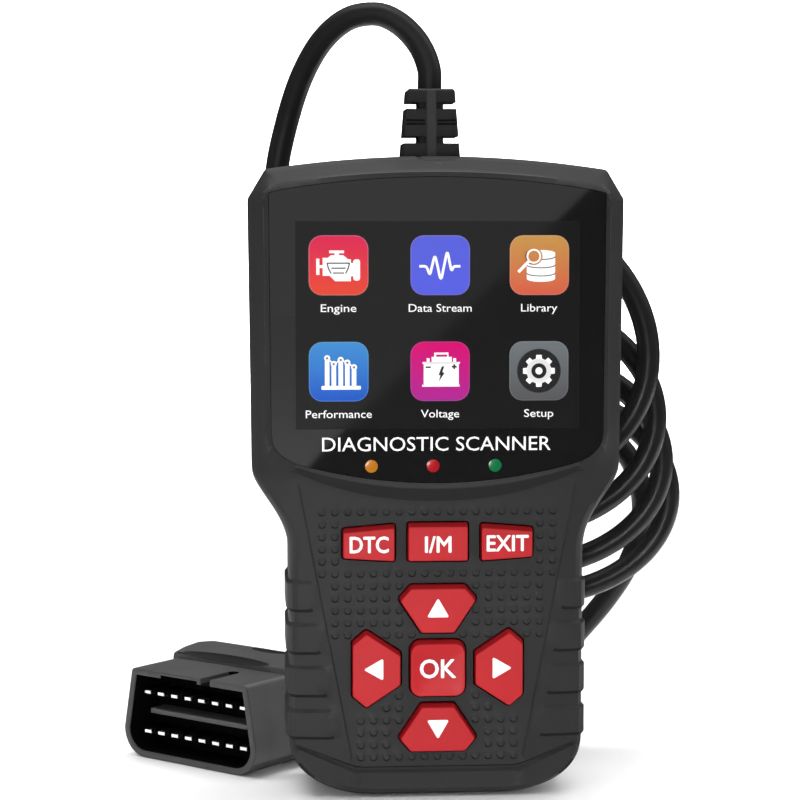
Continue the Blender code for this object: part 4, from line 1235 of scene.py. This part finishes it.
def make_plug():
    """16-pin plug: shell, block, pins, moulded grip and slotted boot."""
    slot = SLOT[2]
    bm = bmesh.new()
    outside = [plug_ring(PLUG_DEEP, 0.0), plug_ring(10.4, 0.0),
               plug_ring(10.4, 0.0, slot=slot, slot_half=0.35),
               plug_ring(10.1, 0.0, slot=slot, slot_half=0.95), plug_ring(9.3, 0.0, slot=slot),
               plug_ring(0.3, 0.0, slot=slot), plug_ring(0.08, 0.08, slot=slot - 0.08),
               plug_ring(0.0, 0.3, slot=slot - 0.3)]
    inside_rings = [plug_ring(0.0, 1.25, key=KEYWAY[2]), plug_ring(0.08, 1.42, key=KEYWAY[2]),
                    plug_ring(0.3, 1.5, key=KEYWAY[2]), plug_ring(11.4, 1.6, key=KEYWAY[2])]
    loops = loft(bm, outside + inside_rings)
    inner = {v for loop in loops[len(outside) + 2:] for v in loop}
    for face in bm.faces:
        spot = face.calc_center_median()
        # The slot floor and the inner walls get painted shade.
        sunk = abs(spot.x - SLOT[0]) < SLOT[1] - 0.1 and 17.5 < spot.z < PLUG_HEIGHT - 0.3
        if sunk or all(v in inner for v in face.verts):
            face.material_index = PLUG_PAINTED_SHADE
        elif abs(spot.x) > 16 and spot.y > 0.5 and spot.z > 3:
            # The flanks get painted light.
            face.material_index = PLUG_PAINTED_LIGHT
    bmesh.ops.remove_doubles(bm, verts=bm.verts, dist=0.003)
    tidy_normals(bm)
    finish_plug_piece("plug_shell", bm, [M_PLUG, M_PLUG_PAINTED_SHADE, M_PLUG_PAINTED_LIGHT], ["plug_shroud"],
                      sharp=30)

    bm = bmesh.new()
    # The block is drawn in the plug's painted shade.
    loft(bm, [plug_ring(7.9, 1.66), plug_ring(11.3, 1.66)])
    for z in PIN_ROWS:
        for x in PIN_COLUMNS:
            cuboid(bm, (x - 1.15, 3.2, z - 0.75), (x + 1.15, 8.0, z + 0.75), 0.15)
    cuboid(bm, (-14.2, 3.2, 9.4), (14.2, 8.0, 10.5), 0.12, material=1)
    bmesh.ops.remove_doubles(bm, verts=bm.verts, dist=0.003)
    tidy_normals(bm)
    finish_plug_piece("plug_block", bm, [M_PLUG_PAINTED_SHADE, M_PLUG_RIB], ["plug_pin_block"])

    bm = bmesh.new()
    for z in PIN_ROWS:
        for x in PIN_COLUMNS:
            cuboid(bm, (x - 0.95, 2.0, z - 0.45), (x + 0.95, 11.0, z + 0.45), 0.14)
    tidy_normals(bm)
    finish_plug_piece("plug_pins", bm, M_PIN, [f"plug_pin_{n:02d}" for n in range(1, 17)])

    bm = bmesh.new()
    loft(bm, [[(x * share, y, low + (high - low) * z / PLUG_HEIGHT) for x, z in PLUG_SECTION]
              for y, share, low, high in GRIP_RINGS])
    tidy_normals(bm)
    cuts = []
    for centre, radii in GRIP_HOLLOWS:
        cut = bmesh.new()
        bmesh.ops.create_uvsphere(cut, u_segments=28, v_segments=14, radius=1.0)
        bmesh.ops.scale(cut, verts=cut.verts, vec=radii)
        bmesh.ops.translate(cut, verts=cut.verts, vec=centre)
        cuts.append(cut)
    bm = carved(bm, cuts)
    for face in bm.faces:
        spot = face.calc_center_median()
        # Faces on the first two hollows get painted shade.
        for centre, radii in GRIP_HOLLOWS[:2]:
            share = Vector([(a - b) / c for a, b, c in zip(spot, centre, radii)]).length
            if abs(share - 1) < 0.05:
                face.material_index = 1
    finish_plug_piece("plug_grip_body", bm, [M_GRIP, M_PAINTED_SHADE], ["plug_overmold"],
                      sharp=28)

    bm = bmesh.new()
    loft(bm, [at_level(circle(0.0, PLUG_EXIT_Z, radius, 28), y) for y, radius in BOOT_RINGS])
    tidy_normals(bm)
    finish_plug_piece("plug_boot", bm, M_GRIP, ["plug_relief"])


def carved(bm, cuts):
    """Subtract closed bmeshes from a closed bmesh."""
    def item(name, source):
        mesh = bpy.data.meshes.new(name)
        source.to_mesh(mesh)
        source.free()
        return add_object(name, mesh)

    base = item("carving", bm)
    tools = [item(f"cut_{n}", cut) for n, cut in enumerate(cuts)]
    for tool in tools:
        modifier = base.modifiers.new(tool.name, "BOOLEAN")
        modifier.operation = "DIFFERENCE"
        modifier.solver = "EXACT"
        modifier.object = tool
    bpy.context.view_layer.update()
    mesh = bpy.data.meshes.new_from_object(
        base.evaluated_get(bpy.context.evaluated_depsgraph_get()))
    made = bmesh.new()
    made.from_mesh(mesh)
    for thing in [base] + tools:
        old = thing.data
        bpy.data.objects.remove(thing)
        bpy.data.meshes.remove(old)
    bpy.data.meshes.remove(mesh)
    return made


make_plug()


# ---------------------------------------------------------------- flat graphics

def plate(bm, outline, level, material=0):
    """Thin flat shape whose face is at a level along Y."""
    loft(bm, [at_level(outline, level + FILM), at_level(outline, level)], material=material)


def block(low_x, low_z, high_x, high_z, radius=0.0):
    """Rectangle by its corners, rounded if a radius is given."""
    corners = [(low_x, low_z), (high_x, low_z), (high_x, high_z), (low_x, high_z)]
    return rounded(corners, radius, 5) if radius else corners


def stroke(bm, points, width, level, material=0):
    """Flat ribbon of constant width along a line."""
    path = [Vector(p) for p in points]
    rings = []
    for i, here in enumerate(path):
        way = (path[min(i + 1, len(path) - 1)] - path[max(i - 1, 0)]).normalized()
        side = Vector((way.y, -way.x)) * width / 2
        rings.append([(p.x, y, p.y) for p, y in (
            (here + side, level), (here - side, level), (here - side, level + FILM),
            (here + side, level + FILM))])
    loft(bm, rings, material=material)


def through(points, steps=6):
    """Smooth line through points."""
    path = [Vector(points[0])] + [Vector(p) for p in points] + [Vector(points[-1])]
    made = []
    for p0, p1, p2, p3 in zip(path, path[1:], path[2:], path[3:]):
        for k in range(steps):
            t = k / steps
            made.append(0.5 * (2 * p1 + (p2 - p0) * t + (2 * p0 - 5 * p1 + 4 * p2 - p3) * t * t
                               + (3 * p1 - p0 - 3 * p2 + p3) * t ** 3))
    return made + [path[-1]]


def font_mesh(words):
    """Mesh of flat letters on their baseline, one unit tall in the built-in font's own scale."""
    curve = bpy.data.curves.new("letters", "FONT")
    curve.body = words
    curve.extrude = 0.01
    curve.resolution_u = 3
    item = add_object("letters", curve)
    bpy.context.view_layer.update()
    mesh = bpy.data.meshes.new_from_object(
        item.evaluated_get(bpy.context.evaluated_depsgraph_get()))
    bpy.data.objects.remove(item)
    bpy.data.curves.remove(curve)
    return mesh


def lettering(bm, words, middle, base, width, cap, level):
    """Add raised letters to a bmesh, fitted to a width and a height of capitals."""
    mesh, letter = font_mesh(words), font_mesh("H")
    places = np.array([v.co for v in mesh.vertices])
    low, high = places.min(0), places.max(0)
    across = width / (high[0] - low[0])
    up = cap / max(v.co.y for v in letter.vertices)
    first = len(bm.verts)
    bm.from_mesh(mesh)
    bm.verts.ensure_lookup_table()
    for vert in bm.verts[first:]:
        x, z, out = vert.co
        vert.co = (middle + (x - (low[0] + high[0]) / 2) * across, level - out * 2.0, base + z * up)
    bpy.data.meshes.remove(mesh)
    bpy.data.meshes.remove(letter)


def bold_lettering(bm, words, middle, base, width, cap, level):
    """Thicker letters from four shifted copies, each a little further out."""
    for k, (side, up) in enumerate(((-1, 0), (1, 0), (0, 1), (0, -1))):
        lettering(bm, words, middle + side * LEGEND_BOLD, base + up * LEGEND_BOLD,
                  width - 2 * LEGEND_BOLD, cap, level - 0.02 * k)


# ---------------------------------------------------------------- screen

def icon_tile(name, place, top, bottom, rim, draw):
    """Rounded tile with a pale rim and a white pictogram drawn about its centre."""
    cx, cz = place
    face = icon_surface(f"{name}_blend", srgb(*top), srgb(*bottom))
    edge = icon_surface(f"{name}_rim", srgb(*rim[0]), srgb(*rim[1]))
    dark = surface(f"{name}_shade", srgb(*ICON_DARK), 0.3, spread=0.05, bump=0.0)
    bm = bmesh.new()
    plate(bm, block(-ICON, -ICON, ICON, ICON, ICON_CORNER), TILE, RIM)
    inner = ICON - 0.2
    plate(bm, block(-inner, -inner, inner, inner, ICON_CORNER - 0.2), TILE - 0.01, BLEND)
    draw(bm)
    tidy_normals(bm)
    bmesh.ops.translate(bm, verts=bm.verts, vec=(cx, 0, cz))
    finish_piece(f"icon_{name}", bm, [face, edge, M_GLYPH, dark],
                 origin=(cx, TILE, cz))


def draw_engine(bm):
    for corners in ((-1.86, 2.45, 1.12, 3.0), (-0.8, 1.9, 0.12, 2.5)):
        plate(bm, block(*corners), GLYPH, WHITE)
    plate(bm, [(-3.2, -2.1), (-1.8, -2.1), (-0.67, -3.2), (2.5, -3.2), (2.5, 1.22), (1.96, 1.22),
               (0.94, 2.05), (-1.5, 2.05), (-2.16, 1.52), (-3.2, 1.52)], GLYPH, WHITE)
    for corners in ((2.45, -2.2, 3.1, 0.5), (2.98, -3.08, 4.35, 1.22, 0.5),
                    (-3.95, -0.55, -3.1, 0.05), (-4.5, -1.9, -3.85, 1.35)):
        plate(bm, block(*corners), GLYPH, WHITE)
    for line in (((-2.3, 0.44), (2.22, 0.44)), ((2.22, 0.44), (1.95, -0.6), (1.45, -1.65)),
                 ((-2.3, 0.44), (-2.05, -0.6), (-1.5, -1.65)), ((-1.44, -0.57), (1.42, -0.57)),
                 ((-1.09, -1.55), (1.12, -1.55))):
        stroke(bm, line, 0.24, DETAIL, DARK)


def draw_wave(bm):
    line = through(((-4.25, -0.22), (-3.1, -0.22), (-2.65, -0.65), (-2.12, -1.75), (-1.7, -0.3),
                    (-1.13, 1.72), (-0.6, 0.1), (0.12, -2.7), (0.8, 0.0), (1.4, 2.53), (1.9, 0.6),
                    (2.29, -0.95), (2.75, -0.35), (3.1, -0.22), (4.1, -0.22)), 7)
    stroke(bm, line, 0.52, GLYPH, WHITE)


def draw_library(bm):
    def arc(z, sag, half=2.9, middle=0.32):
        return [(middle + half * math.cos(a), z - sag * math.sin(a))
                for a in np.linspace(math.pi, 0, 17)]

    plate(bm, arc(-2.75, 0.65) + arc(2.45, -0.62)[::-1], GLYPH, WHITE)
    for z in (1.75, 0.05, -1.6):
        stroke(bm, arc(z, 0.6), 0.17, DETAIL, DARK)
    plate(bm, circle(-1.15, 1.8, 1.78), DETAIL - 0.01, BLEND)
    plate(bm, [(-4.2, 2.6), (-4.2, 0.2), (-2.6, 0.2), (-1.4, 0.3), (-0.4, 2.6)],
          DETAIL - 0.01, BLEND)
    plate(bm, circle(-1.15, 1.8, 1.5), DETAIL - 0.03, WHITE)
    plate(bm, circle(-1.15, 1.8, 1.12), DETAIL - 0.05, BLEND)
    stroke(bm, ((-2.2, 0.75), (-4.3, -1.4)), 0.62, DETAIL - 0.03, WHITE)


def draw_bars(bm):
    tops = ((-2.35, 2.75), (-1.0, 1.56), (0.41, 2.4), (1.74, 1.85), (3.1, 0.89))
    plate(bm, block(-3.5, -3.64, 4.48, -2.88, 0.2), GLYPH, WHITE)
    for x, z in tops:
        plate(bm, block(x - 0.46, -3.2, x + 0.46, z), GLYPH, WHITE)
        plate(bm, circle(x, z, 0.62, 24), GLYPH, WHITE)
        plate(bm, circle(x, z, 0.2, 16), DETAIL, DARK)
    stroke(bm, tops, 0.3, GLYPH, WHITE)


def draw_battery(bm):
    for corners in ((-3.34, -3.0, 3.8, 1.85), (-3.66, -3.13, 4.0, -2.74), (-3.58, 1.5, 4.04, 1.9),
                    (-1.73, 1.8, 2.36, 2.95), (-1.2, 2.9, 1.7, 3.8), (-2.75, 1.8, -2.15, 2.65),
                    (2.65, 1.8, 3.25, 2.65)):
        plate(bm, block(*corners), GLYPH, WHITE)
    plate(bm, block(-0.82, 2.95, 1.42, 3.4), DETAIL, BLEND)
    plate(bm, block(-2.94, 0.67, -1.9, 1.0), DETAIL, DARK)
    plate(bm, block(2.38, 0.74, 3.4, 1.1), DETAIL, DARK)
    plate(bm, block(2.7, 0.42, 3.06, 1.42), DETAIL - 0.005, DARK)
    plate(bm, [(0.84, 1.03), (0.31, 0.94), (-0.31, -0.75), (0.07, -0.82), (-0.29, -2.14),
               (0.9, -0.34), (0.46, -0.17)], DETAIL, DARK)


def draw_gear(bm):
    plate(bm, circle(0, 0, 4.48, 64), GLYPH, DARK)
    outline = []
    for tooth in range(8):
        middle = math.tau * tooth / 8
        for swing, radius in ((-0.26, 2.5), (-0.17, 3.3), (0.17, 3.3), (0.26, 2.5)):
            outline.append((radius * math.cos(middle + swing), radius * math.sin(middle + swing)))
    plate(bm, outline, DETAIL, WHITE)
    plate(bm, circle(0, 0, 2.55, 48), DETAIL, WHITE)
    plate(bm, circle(0, 0, 1.56), DETAIL - 0.02, DARK)
    plate(bm, circle(0, 0, 0.73, 24), DETAIL - 0.04, WHITE)


def make_screen():
    """Lit area behind the window, its icons and words, the title line and the three lamps."""
    bm = bmesh.new()
    plate(bm, block(-SCREEN_HALF, SCREEN_Z[0], SCREEN_HALF, SCREEN_Z[1]), LENS_FACE - 0.005)
    tidy_normals(bm)
    finish_piece("screen_area", bm, M_SCREEN)

    tiles = (
        ("engine", (205, 34, 78), (212, 66, 44), ((186, 88, 122), (188, 102, 90)), draw_engine),
        ("wave", (82, 90, 204), (80, 88, 208), ((116, 108, 188), (108, 95, 184)), draw_wave),
        ("library", (186, 140, 72), (200, 88, 68), ((192, 150, 104), (192, 108, 98)), draw_library),
        ("bars", (60, 130, 192), (30, 78, 178), ((86, 142, 180), (66, 104, 180)), draw_bars),
        ("battery", (198, 10, 102), (156, 40, 134), ((178, 50, 116), (150, 62, 134)), draw_battery),
        ("gear", (104, 109, 112), (80, 80, 82), ((116, 121, 123), (92, 92, 94)), draw_gear),
    )
    for number, (name, top, bottom, rim, draw) in enumerate(tiles):
        place = (ICON_COLUMNS[number % 3], ICON_ROWS[number // 3])
        icon_tile(name, place, top, bottom, rim, draw)

    bm = bmesh.new()
    labels = (("Engine", 7.2), ("Data Stream", 12.8), ("Library", 7.4), ("Performance", 13.4),
              ("Voltage", 7.8), ("Setup", 6.0))
    for number, (words, width) in enumerate(labels):
        lettering(bm, words, ICON_COLUMNS[number % 3], ICON_ROWS[number // 3] - 9.4, width, 1.55,
                  TILE)
    lettering(bm, "DIAGNOSTIC SCANNER", -0.25, 71.8, 46.7, 2.8, TILE)
    finish_piece("screen_words", bm, M_GLYPH)

    for colour, x in LAMPS.items():
        bm = bmesh.new()
        rings = []
        for radius, proud in ((1.33, 0.0), (1.3, 0.05), (1.1, 0.09), (0.6, 0.12), (0.1, 0.13)):
            rings.append(at_level(circle(x, LAMP_Z, radius), LENS_FACE + 0.03 - proud))
        loft(bm, rings)
        tidy_normals(bm)
        finish_piece(f"lamp_{colour}", bm, M_LAMPS[colour], replaces=[f"light_pipe_{colour}"],
                     origin=(x, LENS_FACE, LAMP_Z))


make_screen()


def make_legends():
    """White legends on the keys."""
    words = {"key_codes": ("DTC", -14.1, 51.1, 8.0, 3.2),
             "key_test": ("I/M", 0.0, 51.05, 5.45, 3.2),
             "key_exit": ("EXIT", 14.25, 51.2, 8.65, 3.15),
             "key_ok": ("OK", 0.0, 25.1, 7.5, 3.7)}
    for name, (text, x, z, width, cap) in words.items():
        bm = bmesh.new()
        level = KEY_FRONT + (0.15 if name == "key_ok" else -0.02)
        bold_lettering(bm, text, x, z, width, cap, level)
        finish_piece(f"{name}_legend", bm, M_INK, body=name,
                     origin=(x, KEY_FRONT, z))
    turns = {"key_up": 0, "key_left": 1, "key_down": 2, "key_right": 3}
    for name, step in turns.items():
        turn = Matrix.Rotation(math.radians(90 * step), 2)
        reach = 0.6 if step % 2 else 0.0
        points = [turn @ Vector(p) for p in ((-2.3, 10.65 + reach), (2.3, 10.65 + reach),
                                             (0.0, 14.65 + reach))]
        bm = bmesh.new()
        plate(bm, rounded([(p.x, p.y + DPAD_Z) for p in points], 0.25, 3), KEY_FRONT - 0.02)
        tidy_normals(bm)
        finish_piece(f"{name}_legend", bm, M_INK, body=name,
                     origin=(0, KEY_FRONT, DPAD_Z))


make_legends()


# ---------------------------------------------------------------- screws and inside parts

def make_case_screws():
    """Cross-head screws sunk in the back shell."""
    for number in range(1, 5):
        low, high = (Vector(corner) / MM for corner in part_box(f"housing_screw_{number}"))
        x, z, head = (low.x + high.x) / 2, (low.z + high.z) / 2, (high.x - low.x) / 2
        bm = bmesh.new()
        loft(bm, [at_level(circle(x, z, radius, 32), y)
                  for y, radius in ((low.y, 0.8), (low.y + 0.5, 1.1), (high.y - 1.8, 1.1),
                                    (high.y - 1.8, head), (high.y - 0.5, head),
                                    (high.y - 0.14, head - 0.4), (high.y, head - 1.1))])
        tidy_normals(bm)
        arms = []
        for long_x, long_z in ((1.35, 0.28), (0.28, 1.35)):
            arm = bmesh.new()
            cuboid(arm, (x - long_x, high.y - 0.9, z - long_z),
                   (x + long_x, high.y + 0.4, z + long_z))
            tidy_normals(arm)
            arms.append(arm)
        bm = carved(bm, arms)
        finish_piece(f"case_screw_{number}", bm, M_STEEL, replaces=[f"housing_screw_{number}"],
                     origin=(x, high.y, z))


make_case_screws()

INSIDE = (("board_screw", M_STEEL),
          ("keypad_membrane", surface("silicone_mat", (0.012, 0.012, 0.012), 0.6, spread=0.12)),
          ("lens_adhesive", surface("tape_black", (0.006, 0.006, 0.006), 0.7, spread=0.15)),
          ("lcd_panel", surface("panel_glass", (0.012, 0.013, 0.015), 0.1, spread=0.08, bump=0.0)),
          ("lcd_backlight", surface("tray_white", (0.72, 0.72, 0.7), 0.5, spread=0.04)),
          ("lcd_ribbon", surface("ribbon_amber", (0.42, 0.18, 0.03), 0.35, spread=0.1)),
          ("main_board", surface("board_green", (0.012, 0.11, 0.04), 0.4, spread=0.15, bump=0.01)),
          ("led", surface("led_epoxy", (0.75, 0.74, 0.68), 0.25, spread=0.05, bump=0.0)),
          ("inner_lead", M_CORD),
          ("cable_header", surface("header_nylon", (0.7, 0.66, 0.55), 0.45, spread=0.06)),
          ("", surface("chip_black", (0.014, 0.014, 0.015), 0.55, spread=0.12, bump=0.01)))
for name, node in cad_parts.items():
    material = next(material for start, material in INSIDE if name.startswith(start))
    for place in range(len(node.material_slots)):
        node.material_slots[place].material = material
